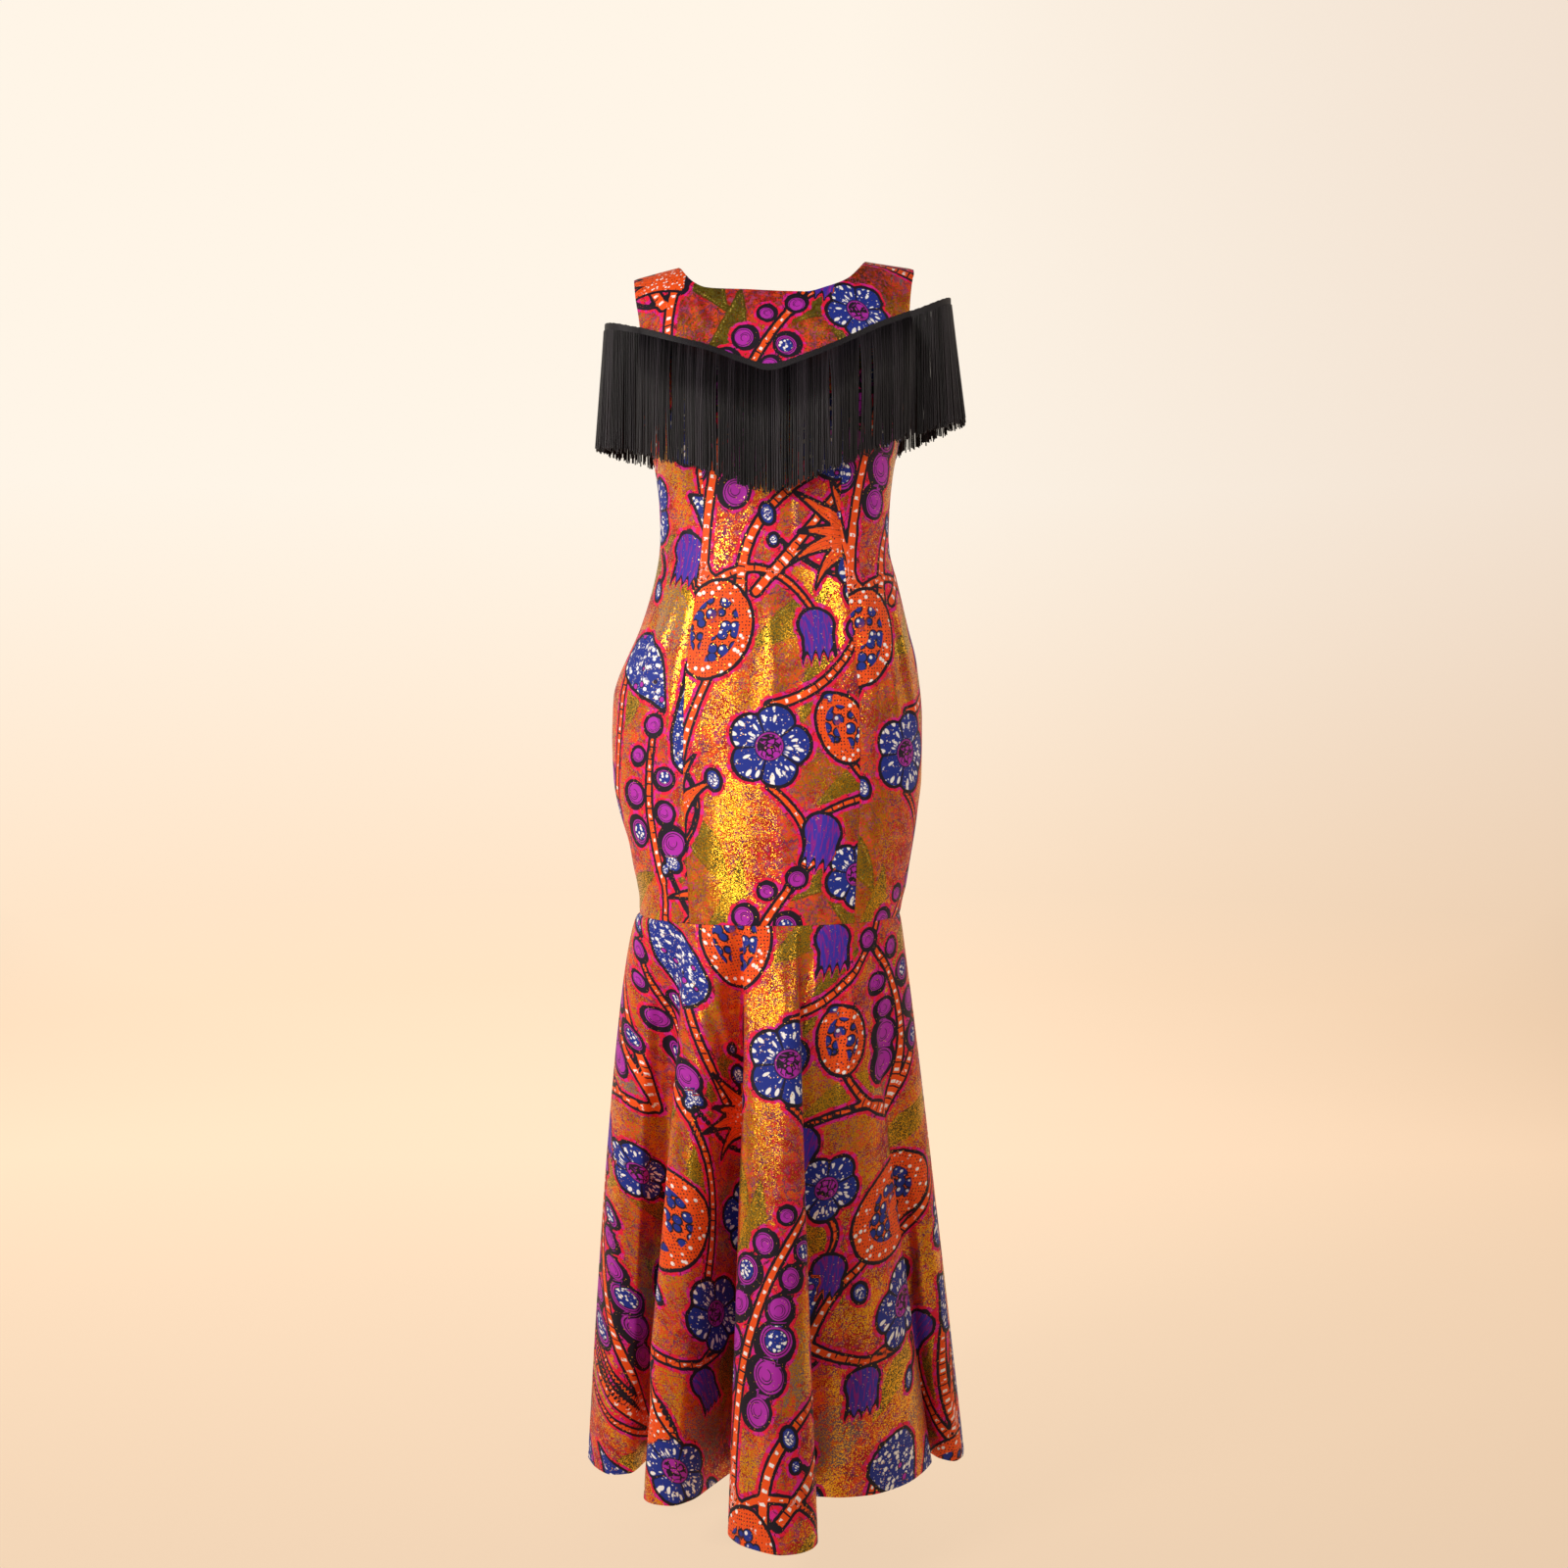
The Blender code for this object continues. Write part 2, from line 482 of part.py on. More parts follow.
def fringe():
    """The trim: a tape once round the shoulders with a strand under every step of it, in one body."""
    path = trim_path()
    count = len(path)
    points, faces = [], []
    for x, y, z, ox, oy in path:
        drop = 0.0
        face = -1 if y < 0 else 1
        if abs(ox) < 0.05:
            drop = max(0.0, cloth_depth(face, x, z - TRIM_TALL) + TRIM_CLEAR - abs(y))
        for far, low in ((0.0, 0.0), (TRIM_THICK, 0.0), (TRIM_THICK + drop, -TRIM_TALL), (drop, -TRIM_TALL)):
            points.append((x + ox * far, y + oy * far, z + low))
    for i in range(count):
        a, b = 4 * i, 4 * ((i + 1) % count)
        for p, q in ((0, 1), (1, 2), (3, 0)):
            faces.append([a + p, a + q, b + q, b + p])
    rng = np.random.default_rng(4)
    for i in range(count):
        j = (i + 1) % count
        root = [np.array(points[n]) for n in (4 * i + 2, 4 * i + 3, 4 * j + 3, 4 * j + 2)]
        ids = [4 * i + 2, 4 * i + 3, 4 * j + 3, 4 * j + 2]
        middle = sum(root) / 4
        out = path[i, 3:] + path[j, 3:]
        out = out / np.linalg.norm(out)
        side = 1 if middle[0] > 0 else -1
        long = STRAND_LONG * (1 + rng.uniform(-0.025, 0.025))
        splay = TRIM_SPLAY[side] * abs(out[0]) ** 1.5 + rng.uniform(0, 0.0012)
        bends = clear_of_body(middle, out, long)
        for share, scale, far in ((STRAND_BEND, 0.74, bends[0]), (1.0, 0.55, bends[1])):
            swing = max(far, splay * share)
            ring = []
            for corner in root:
                flat = middle + (corner - middle) * scale
                ring.append((flat[0] + out[0] * swing, flat[1] + out[1] * swing, middle[2] - long * share))
            base = len(points)
            points.extend(ring)
            new = [base + n for n in range(4)]
            for p in range(4):
                q = (p + 1) % 4
                faces.append([ids[p], ids[q], new[q], new[p]])
            ids = new
        faces.append(ids)
    return finish("fringe_trim", np.array(points), faces, BLACK, 0.55)


for old in list(bpy.data.objects):
    bpy.data.objects.remove(old, do_unlink=True)

front_centre()
front_side("front_side_right", -1)
front_side("front_side_left", 1)
back_panel("back_right", -1)
back_panel("back_left", 1)
skirt("flare_front", -1, FRONT_FOLDS, 54)
skirt("flare_back", 1, BACK_FOLDS, 50)
facing("neck_facing_front", -1)
facing("neck_facing_back", 1)
fringe()
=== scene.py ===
import math

import bpy
import numpy as np
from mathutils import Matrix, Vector


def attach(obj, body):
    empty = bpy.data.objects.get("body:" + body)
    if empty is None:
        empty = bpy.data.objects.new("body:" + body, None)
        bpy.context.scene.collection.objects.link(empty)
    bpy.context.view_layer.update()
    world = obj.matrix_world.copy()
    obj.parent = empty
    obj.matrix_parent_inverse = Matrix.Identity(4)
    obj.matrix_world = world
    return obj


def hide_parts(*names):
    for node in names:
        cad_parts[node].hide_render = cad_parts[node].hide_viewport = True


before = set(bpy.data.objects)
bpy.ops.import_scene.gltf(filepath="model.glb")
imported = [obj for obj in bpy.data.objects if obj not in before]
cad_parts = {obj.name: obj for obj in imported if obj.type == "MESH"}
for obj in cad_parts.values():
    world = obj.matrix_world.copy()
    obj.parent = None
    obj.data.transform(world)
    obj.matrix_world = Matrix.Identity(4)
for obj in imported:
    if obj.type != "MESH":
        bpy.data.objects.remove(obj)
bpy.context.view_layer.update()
bpy.ops.object.select_all(action="DESELECT")


# Front centre: cotton wax print, cut between the two princess seams and, above them, across the whole chest
# up to the neckline and the front of both straps. It is sewn to the side fronts and the flare, and to the
# backs at the shoulders.
KNEE_Z, HEM_Z, UNDERARM_Z, YOKE_Z = -0.758, -1.402, -0.185, -0.100  # heights from the shoulders, in m
BELOW_YOKE = -0.104  # the last level row of the panels, just under the yoke
LEVEL_Z, ROLL_Z = -0.160, -0.095  # the cloth's way out is level below the first; it rolls in above the second
ARMHOLE_TOP, ARMHOLE_CUT = -0.110, 0.60  # where the armhole stops cutting in, and how far in it cuts
SEAM_GAP = 0.0003  # keeps two pieces apart at their seam
CLOTH = 0.0008  # a cloth shell, in the outer part of its solid's wall
BUST = (0.080, -0.172, 0.024, 0.042, 0.050)  # x, z, height, spread in x, spread in z
NECK_X = 0.1077  # from the centre to where the neckline meets the shoulder seam

# Height, half width on the right and left as worn, depth in front, depth behind, squareness.
BODY = [
    (-0.7600, 0.1552, 0.1490, 0.118, 0.100, 2.2), (-0.7406, 0.1553, 0.1525, 0.118, 0.102, 2.2),
    (-0.7245, 0.1576, 0.1565, 0.118, 0.105, 2.2), (-0.7030, 0.1622, 0.1599, 0.118, 0.109, 2.2),
    (-0.6760, 0.1672, 0.1645, 0.119, 0.115, 2.2), (-0.6540, 0.1737, 0.1679, 0.120, 0.121, 2.2),
    (-0.6350, 0.1794, 0.1702, 0.120, 0.126, 2.2), (-0.6000, 0.1852, 0.1742, 0.121, 0.134, 2.2),
    (-0.5520, 0.1869, 0.1748, 0.122, 0.140, 2.2), (-0.5290, 0.1863, 0.1748, 0.122, 0.140, 2.2),
    (-0.5050, 0.1850, 0.1733, 0.122, 0.138, 2.2), (-0.4840, 0.1794, 0.1708, 0.122, 0.133, 2.2),
    (-0.4600, 0.1690, 0.1673, 0.121, 0.126, 2.2), (-0.4280, 0.1546, 0.1590, 0.117, 0.113, 2.2),
    (-0.3930, 0.1430, 0.1507, 0.111, 0.098, 2.2), (-0.3670, 0.1363, 0.1445, 0.106, 0.088, 2.2),
    (-0.3380, 0.1315, 0.1370, 0.103, 0.081, 2.2), (-0.3186, 0.1305, 0.1357, 0.102, 0.080, 2.2),
    (-0.2850, 0.1315, 0.1370, 0.105, 0.083, 2.2), (-0.2460, 0.1360, 0.1410, 0.112, 0.088, 2.25),
    (-0.2150, 0.1420, 0.1470, 0.117, 0.093, 2.3), (-0.1850, 0.1490, 0.1530, 0.117, 0.098, 2.35),
    (-0.1600, 0.1475, 0.1520, 0.114, 0.100, 2.4), (-0.1300, 0.1470, 0.1520, 0.108, 0.100, 2.4),
    (-0.1000, 0.1490, 0.1540, 0.100, 0.098, 2.4), (-0.0750, 0.1520, 0.1565, 0.093, 0.094, 2.4),
    (-0.0500, 0.1565, 0.1585, 0.087, 0.089, 2.4), (-0.0300, 0.1592, 0.1610, 0.085, 0.086, 2.4),
    (-0.0150, 0.1612, 0.1640, 0.085, 0.085, 2.4), (0.0300, 0.1615, 0.1646, 0.085, 0.085, 2.4),
]
PRINCESS = [
    (-0.760, 0.0925), (-0.690, 0.0960), (-0.600, 0.0990), (-0.520, 0.0985), (-0.460, 0.0940),
    (-0.400, 0.0870), (-0.360, 0.0820), (-0.320, 0.0780), (-0.280, 0.0770), (-0.246, 0.0790),
    (-0.200, 0.0840), (-0.172, 0.0885), (-0.150, 0.0965), (-0.132, 0.1080), (-0.116, 0.1240),
    (-0.104, 0.1430), (-0.100, 0.1520),
]  # height, how far the princess seam is from the centre
SHOULDER_LINE = [(-0.1660, -0.0222), (-0.1077, -0.0072), (0.0, 0.0180), (0.1077, -0.0002), (0.1700, -0.0090)]
FRONT_NECK = [
    (-0.1077, -0.0072), (-0.0990, -0.0217), (-0.0900, -0.0324), (-0.0760, -0.0406), (-0.0600, -0.0430),
    (-0.0240, -0.0450), (0.0140, -0.0472), (0.0380, -0.0475), (0.0620, -0.0405), (0.0860, -0.0290),
    (0.1015, -0.0110), (0.1077, -0.0002),
]
BACK_NECK = [
    (-0.1077, -0.0072), (-0.1000, -0.0140), (-0.0800, -0.0205), (-0.0400, -0.0245), (0.0, -0.0255),
    (0.0400, -0.0235), (0.0800, -0.0165), (0.1000, -0.0080), (0.1077, -0.0002),
]


def smooth(table, column, at):
    """Reads a table's column at any place along its first column, with no overshoot between the rows."""
    rows = np.array(table, float)
    x, y = rows[:, 0], rows[:, column]
    h, slope = np.diff(x), np.diff(y) / np.diff(x)
    turn = np.zeros(len(x))
    same = slope[:-1] * slope[1:] > 0
    w1, w2 = 2 * h[1:] + h[:-1], h[1:] + 2 * h[:-1]
    a, b = np.where(same, slope[:-1], 1.0), np.where(same, slope[1:], 1.0)
    turn[1:-1] = np.where(same, (w1 + w2) / (w1 / a + w2 / b), 0.0)
    turn[0], turn[-1] = slope[0], slope[-1]
    at = np.clip(at, x[0], x[-1])
    i = np.clip(np.searchsorted(x, at, side="right") - 1, 0, len(x) - 2)
    t = (at - x[i]) / h[i]
    start = y[i] * (1 + 2 * t) * (1 - t) ** 2 + turn[i] * h[i] * t * (1 - t) ** 2
    return start + y[i + 1] * t**2 * (3 - 2 * t) + turn[i + 1] * h[i] * t**2 * (t - 1)


def edge_reach(z):
    """The sine of the angle at which a body panel's outer edge lies at a height: 1 at the side seam, less
    where the armhole cuts in."""
    down = np.clip((z - ARMHOLE_TOP) / (UNDERARM_Z - ARMHOLE_TOP), 0, 1)
    square = smooth(BODY, 5, z)
    return (1 - (ARMHOLE_CUT * np.sqrt(1 - down**2)) ** square) ** (1 / square)


def body(face, k, z):
    """A point of the dress's outer face. face is -1 in front and 1 behind; k is -1 at the right side or
    armhole as worn, 0 at the centre and 1 at the left."""
    k, z = np.broadcast_arrays(np.asarray(k, float), np.asarray(z, float))
    half = np.where(k < 0, smooth(BODY, 1, z), smooth(BODY, 2, z))
    square, reach = smooth(BODY, 5, z), edge_reach(z)
    turn = k * np.arcsin(reach)
    x = half / reach * np.sin(turn)
    y = smooth(BODY, 3 if face < 0 else 4, z) * (1 - np.abs(np.sin(turn)) ** square) ** (1 / square)
    over = np.clip((z - ROLL_Z) / (smooth(SHOULDER_LINE, 1, x) - ROLL_Z), 0, 1)
    y = y * np.sqrt(1 - over**2)
    if face < 0:
        bx, bz, high, sx, sz = BUST
        swell = high * np.exp(-(((np.abs(x) - bx) / sx) ** 2) - ((z - bz) / sz) ** 2)
        y = y + swell * np.sqrt(1 - over**2) * (1 - np.abs(k) ** 6)
    return np.stack([x, face * y, z + 0 * x], axis=-1)


def unit(vectors):
    """The same vectors, all of length 1."""
    return vectors / np.maximum(np.linalg.norm(vectors, axis=-1, keepdims=True), 1e-12)


def outward(face, k, z):
    """The way out of the cloth at each point: level low down, and square to it round the shoulders."""
    across = body(face, np.clip(k + 0.004, -1, 1), z) - body(face, np.clip(k - 0.004, -1, 1), z)
    n = unit(np.cross(across, body(face, k, z) - body(face, k, z - 0.0008)) * -face)
    blend = np.clip((z - LEVEL_Z) / 0.05, 0, 1)[..., None]
    n = n * blend + unit(n * [1, 1, 0]) * (1 - blend)
    at_shoulder = (np.abs(body(face, k, z)[..., 1:2]) < 2e-4) & (z[..., None] > -0.03)
    at_side = (np.abs(np.abs(k) - 1) < 1e-9)[..., None] & (z[..., None] < UNDERARM_Z + 1e-6)
    return unit(np.where(at_shoulder, n * [1, 0, 1], np.where(at_side, n * [1, 0, 0], n)))


def seam_k(z, side):
    """k of the princess seam at a height on one side."""
    reach = edge_reach(z)
    share = np.minimum(smooth(PRINCESS, 1, z) / smooth(BODY, 1 if side < 0 else 2, z), 1.0)
    return np.minimum(np.arcsin(share * reach) / np.arcsin(reach), 1.0)


def top_of(face, k):
    """The height of the neckline or shoulder seam on the line of constant k."""
    neck = FRONT_NECK if face < 0 else BACK_NECK
    low, high = (np.full(np.shape(k), end) for end in (YOKE_Z, max(z for _, z in SHOULDER_LINE)))
    for _ in range(40):
        mid = (low + high) / 2
        x = body(face, k, mid)[..., 0]
        edge = np.where(np.abs(x) < NECK_X, smooth(neck, 1, x), smooth(SHOULDER_LINE, 1, x))
        low, high = np.where(mid < edge, mid, low), np.where(mid < edge, high, mid)
    return low


def neck_k(face, side):
    """k of the line that reaches the shoulder seam where the neckline does."""
    low, high = 0.3, 1.0
    for _ in range(40):
        mid = (low + high) / 2
        z = smooth(SHOULDER_LINE, 1, np.array(side * NECK_X))
        low, high = (mid, high) if abs(body(face, side * mid, z)[0]) < NECK_X else (low, mid)
    return high


def close_at_ends(count, fine=0.18):
    """Shares from 0 to 1, closer together near both ends, where the cloth rolls into a seam."""
    t = np.linspace(0, 1, count)
    return t - fine * np.sin(2 * np.pi * t) / (2 * np.pi)


def length_along(points):
    """How far along its line each point is, for one line or for each column of a grid."""
    steps = np.linalg.norm(np.diff(points, axis=0), axis=-1)
    return np.concatenate([np.zeros((1,) + steps.shape[1:]), np.cumsum(steps, axis=0)])


def from_yoke(face, k, top, count=160):
    """Heights from the yoke to the top on the line of constant k, closer together where the cloth rolls over
    the shoulder, and how far along the cloth each is."""
    heights = YOKE_Z + (top - YOKE_Z) * np.sin(np.linspace(0, np.pi / 2, count))
    return heights, length_along(body(face, np.full(count, k), heights))


def yoke_grid(face, columns, rows=34):
    """k and heights from the yoke to the neckline and shoulder seam, evenly spaced along the cloth, and
    which columns end at the seam."""
    heights = np.zeros((rows, len(columns)))
    for i, (k, top) in enumerate(zip(columns, top_of(face, columns))):
        fine, along = from_yoke(face, k, top)
        heights[:, i] = np.interp(np.linspace(0, along[-1], rows), along, fine)
    seam = (columns >= neck_k(face, 1) - 1e-6) | (columns <= -neck_k(face, -1) + 1e-6)
    return np.repeat(columns[None], rows, axis=0), heights, seam


def creases(u, z, rows):
    """Height of the creases over a panel: rows of the two ends (u in mm, z in m), half width and height in
    mm. A crease is steeper on one side, with a hollow beside it, and dies away towards both ends."""
    v, total = z * 1000, np.zeros(np.shape(u))
    for u0, z0, u1, z1, wide, high in rows:
        du, dv = u1 - u0, (z1 - z0) * 1000
        t = ((u - u0) * du + (v - z0 * 1000) * dv) / (du * du + dv * dv)
        side = ((u - u0) * dv - (v - z0 * 1000) * du) / math.hypot(du, dv)
        side = side + wide * 0.5 * np.sin(3.1 * t + wide)
        fade = np.clip(1 - np.abs(2 * t - 1) ** 2.2, 0, 1) ** 1.3
        steep = np.where(side > 0, 0.62, 1.25) * wide
        hollow = 0.42 * np.exp(-(((side - wide * 1.5) / wide) ** 2))
        total += high * fade * (np.exp(-((side / steep) ** 2)) - hollow)
    return total / 1000


def rolled_edges(grid, out, edges, deep=0.0007, wide=0.0030):
    """Sinks the cloth a little towards its sewn edges: its first and last columns, its foot and its head."""
    lines = {"first": grid[:, :1], "last": grid[:, -1:], "foot": grid[:1], "head": grid[-1:]}
    sunk = np.zeros(grid.shape[:2])
    for edge in edges:
        away = np.linalg.norm(grid - lines[edge], axis=-1)
        sunk = np.maximum(sunk, deep * np.exp(-((away / wide) ** 2)))
    return grid - out * sunk[..., None]


# The print, in mm on the cloth: sprays of berries, five-petalled blossoms, heart leaves, cut fruit, horn
# and bell blossoms and buds on long stems. Its outlines are distances kept on the cloth's points, and the
# ink fills them.
TILE = (400.0, 520.0)  # the print's repeat across and up the cloth as drawn below, in mm
DRAWN = 1.25  # how much larger it is on the cloth
BERRY, EYED_BERRY, BLOSSOM, HEART_LEAF, FRUIT, HORN_PETAL, BELL_BLOSSOM, BUD = range(8)
REACH = 13.0  # mm past an outline that still matters, for the halo


def oval(a, b, turn=0.0, lobes=0, depth=0.0):
    """A round form, plain or with petals: how far a point is outside it, and where it is in it, -1 to 1."""
    c, s = math.cos(math.radians(turn)), math.sin(math.radians(turn))

    def form(dx, dy):
        p, q = (c * dx + s * dy) / a, (c * dy - s * dx) / b
        far = np.maximum(np.hypot(p, q), 1e-6)
        edge = 1 - depth * (1 - np.abs(np.cos(np.arctan2(q, p) * lobes / 2)) ** 0.7)
        slope = np.maximum(np.hypot(p / far / a, q / far / b), 1e-9)
        return (far - edge) / slope * (1 - 0.35 * depth), p, q

    return form


def blade(x1, y1, bend, widths, teeth=0, notch=0.0):
    """A leaf, bell or petal along an axis that runs from its place by (x1, y1) and bends to one side. widths
    are rows of share of the length and half width; the far end may be cut into teeth."""
    long = math.hypot(x1, y1)
    ax, ay = x1 / long, y1 / long
    widest = max(w for _, w in widths)

    def form(dx, dy):
        t = (dx * ax + dy * ay) / long
        side = dy * ax - dx * ay - bend * 4 * t * (1 - t)
        end = 1 - notch * np.abs(np.sin(side / widest * math.pi * teeth / 2)) if teeth else 1.0
        inside = np.clip(t, 0, 1)
        width = smooth(widths, 1, inside)
        slope = (smooth(widths, 1, np.minimum(inside + 0.02, 1)) - width) / (0.02 * long)
        away = (np.abs(side) - width) / np.sqrt(1 + slope**2)
        past = np.maximum(t - end, -t) * long
        both = np.hypot(np.maximum(away, 0), np.maximum(past, 0))
        return np.where((away > 0) | (past > 0), both, np.maximum(away, past)), side / widest, t

    return form


def curve(x0, y0, cx, cy, x1, y1, count=15):
    """Points along a stem from its foot to its head, drawn towards one point between them."""
    t = np.linspace(0, 1, count)[:, None]
    foot, bend, head = np.array([[x0, y0], [cx, cy], [x1, y1]], float)
    return (1 - t) ** 2 * foot + 2 * t * (1 - t) * bend + t**2 * head


motifs, ground_motifs = [], []  # kind, x, y, size and form of each
stems = []  # points and half width of each


def spray(points, half, count, first, last, flip=1, eyes=3):
    """Berries in turn on each side of a stem, smaller towards its head."""
    stems.append((points, half))
    for i in range(count):
        share = 0.30 + 0.70 * i / (count - 1)
        at = share * (len(points) - 1)
        n = int(min(at, len(points) - 2))
        a, b = points[n], points[n + 1]
        place = a + (b - a) * (at - n)
        run = (b - a) / np.hypot(*(b - a))
        r = first + (last - first) * (i / (count - 1)) ** 1.2
        r *= 1 + 0.16 * math.sin(i * 2.3 + first)
        side = flip * (1 if i % 2 else -1)
        off = (r + half + 2.6) if i < count - 1 else 0.0
        x, y = place + np.array([-run[1], run[0]]) * side * off + run * (0 if off else r + 2)
        motifs.append((EYED_BERRY if i % eyes == 1 else BERRY, x, y, r, oval(r, r * 1.06, 25 * i)))


def horn_blossom(x, y, toward, long, petals=7):
    """A fan of curling petals from one point, with two thin stamens that end in buds."""
    for i in range(petals):
        share = i / (petals - 1) - 0.5
        a = math.radians(toward + 122 * share)
        size = long * (1 - 0.3 * abs(share) + 0.13 * (i % 2))
        petal = blade(math.cos(a) * size, math.sin(a) * size, -share * size * 0.5, PETAL)
        motifs.append((HORN_PETAL, x, y, size, petal))
    foot = np.array([x, y])
    for share in (-0.22, 0.27):
        a = math.radians(toward + 100 * share)
        far, near = (np.array([math.cos(b), math.sin(b)]) * long for b in (a, a + 4 * share))
        stems.append((curve(x, y, *(foot + near * 0.7), *(foot + far * 1.12)), 1.3))
        motifs.append((BUD, *(foot + far * 1.2), 6, oval(4.6, 5.6)))


HEART = [(0, 6), (0.06, 23), (0.2, 33), (0.36, 33), (0.55, 26), (0.78, 13), (1, 1)]
BELL = [(0, 4), (0.1, 14), (0.3, 19), (0.55, 16), (0.8, 16.5), (1, 22)]
PETAL = [(0, 3), (0.25, 6.4), (0.5, 6.6), (0.8, 3.6), (1, 0.4)]
LONG_LEAF = [(0, 1), (0.2, 9), (0.42, 14), (0.65, 12), (0.86, 6), (1, 0.5)]

# The repeat: three sprays, five blossoms, four hearts, three cut fruits, two horns, five bells and nine
# buds on their stems, over leaves and faint bells in the ground.
spray(curve(96, -20, 100, 130, 176, 226), 4.4, 13, 17, 8)
spray(curve(300, 292, 318, 380, 246, 448), 4.2, 9, 15, 8, flip=-1, eyes=4)
spray(curve(392, 300, 372, 350, 384, 430), 3.8, 7, 13, 8, eyes=3)
for x, y, r, turn in (
    (30, 190, 38, 12), (352, 116, 38, 40), (158, 352, 37, 75), (252, 506, 33, 20), (238, 236, 30, 60),
):
    motifs.append((BLOSSOM, x, y, r, oval(r, r, turn, 5, 0.24)))
for x, y, dx, dy, bend, wide in (
    (200, 78, 62, 88, 5, 0.95), (34, 398, -14, 100, -6, 0.9), (346, 516, 52, -62, 5, 0.75),
    (66, 84, -48, 46, -5, 0.62),
):
    leaf_form = blade(dx, dy, bend, [(s, w * wide) for s, w in HEART])
    motifs.append((HEART_LEAF, x, y, math.hypot(dx, dy), leaf_form))
for x, y, a, b, turn in ((322, 208, 56, 42, 28), (108, 456, 34, 46, -18), (224, 368, 23, 33, 24)):
    motifs.append((FRUIT, x, y, max(a, b), oval(a, b, turn, 3, 0.05)))
horn_blossom(262, 8, 148, 84)
horn_blossom(78, 262, 122, 80)
for x, y, dx, dy, size in (
    (206, 292, -8, -58, 0.9), (18, 96, -10, -58, 0.85), (196, 474, 8, -56, 0.85), (308, 72, 12, -54, 0.85),
    (254, 176, 6, -54, 0.8),
):
    bell_form = blade(dx * size, dy * size, 2, [(s, w * size) for s, w in BELL], 5, 0.22)
    motifs.append((BELL_BLOSSOM, x, y, 74, bell_form))
for x, y, turn in (
    (108, 322, 20), (226, 40, -30), (374, 44, 10), (214, 392, 60), (292, 476, 35), (4, 318, 40),
    (156, 40, 15), (60, 330, 0), (290, 140, 30),
):
    motifs.append((BUD, x, y, 12, oval(6.4, 9.6, turn)))
# Stems: foot, the point that draws them to one side, head, and half width.
for *ends, half in (
    (120, -30, 44, 20, 30, 152, 4.4), (132, -30, 130, 40, 200, 78, 4.4),
    (146, -30, 190, 30, 262, 8, 4.0), (108, -30, 12, 20, 18, 96, 3.4), (112, -30, 60, 40, 66, 84, 3.4),
    (250, 96, 300, 70, 352, 80, 3.6), (262, 8, 232, 130, 300, 176, 4.4),
    (146, -30, 196, 30, 250, 96, 4.0), (60, 250, 20, 320, 34, 398, 4.2),
    (78, 262, 60, 330, 104, 414, 4.2), (70, 262, 46, 150, 104, -20, 3.8),
    (176, 226, 216, 270, 158, 316, 3.6), (300, 292, 342, 400, 346, 516, 4.2),
    (300, 292, 262, 320, 206, 292, 3.2), (300, 292, 262, 300, 232, 338, 3.4),
    (352, 154, 400, 230, 392, 300, 3.8), (112, 502, 160, 530, 196, 474, 3.2),
    (158, 388, 224, 400, 248, 474, 3.6), (240, 214, 262, 200, 254, 176, 2.6),
    (176, 226, 200, 262, 238, 258, 3.2), (352, 80, 330, 92, 308, 72, 2.4),
    (86, 300, 92, 316, 104, 318, 1.6), (374, 80, 392, 60, 376, 50, 1.6),
):
    stems.append((curve(*ends), half))
for x, y, dx, dy, bend in (
    (48, 20, 34, 104, 12), (276, 130, -66, 84, -10), (366, 176, 40, 116, 10), (86, 150, 46, 104, -12),
    (186, 372, 64, 84, 12), (70, 530, -66, 64, 8), (388, 50, 66, 60, -9), (176, 214, 84, 40, 8),
    (262, 388, 50, 84, 8), (330, 430, 40, 80, -8), (10, 300, 76, 60, 8), (230, 60, -40, 96, 9),
    (120, 226, -70, 80, -10), (300, 244, 84, 64, 9), (140, 440, 76, 70, -8), (330, 20, 70, 76, 9),
    (200, 300, 96, 30, 8), (0, 440, 84, 56, 8),
):
    ground_motifs.append(("leaf", x, y, 140, blade(dx, dy, bend, LONG_LEAF)))
for x, y, dx, dy in (
    (280, 356, 12, -78), (160, 130, -10, -70), (60, 350, 14, -72), (400, 60, -8, -74), (300, 560, -14, -66),
):
    bell_form = blade(dx, dy, 4, [(s, w * 1.25) for s, w in BELL], 5, 0.25)
    ground_motifs.append(("bell", x, y, 90, bell_form))


def tiled(u, v, x, y, size):
    """Points of the cloth near a motif, in every repeat that it reaches, with their offsets from it."""
    for i in (-1, 0, 1):
        for j in (-1, 0, 1):
            dx, dy = u - x - i * TILE[0], v - y - j * TILE[1]
            near = np.nonzero((np.abs(dx) < size + REACH) & (np.abs(dy) < size + REACH))[0]
            if len(near):
                yield near, dx[near], dy[near]


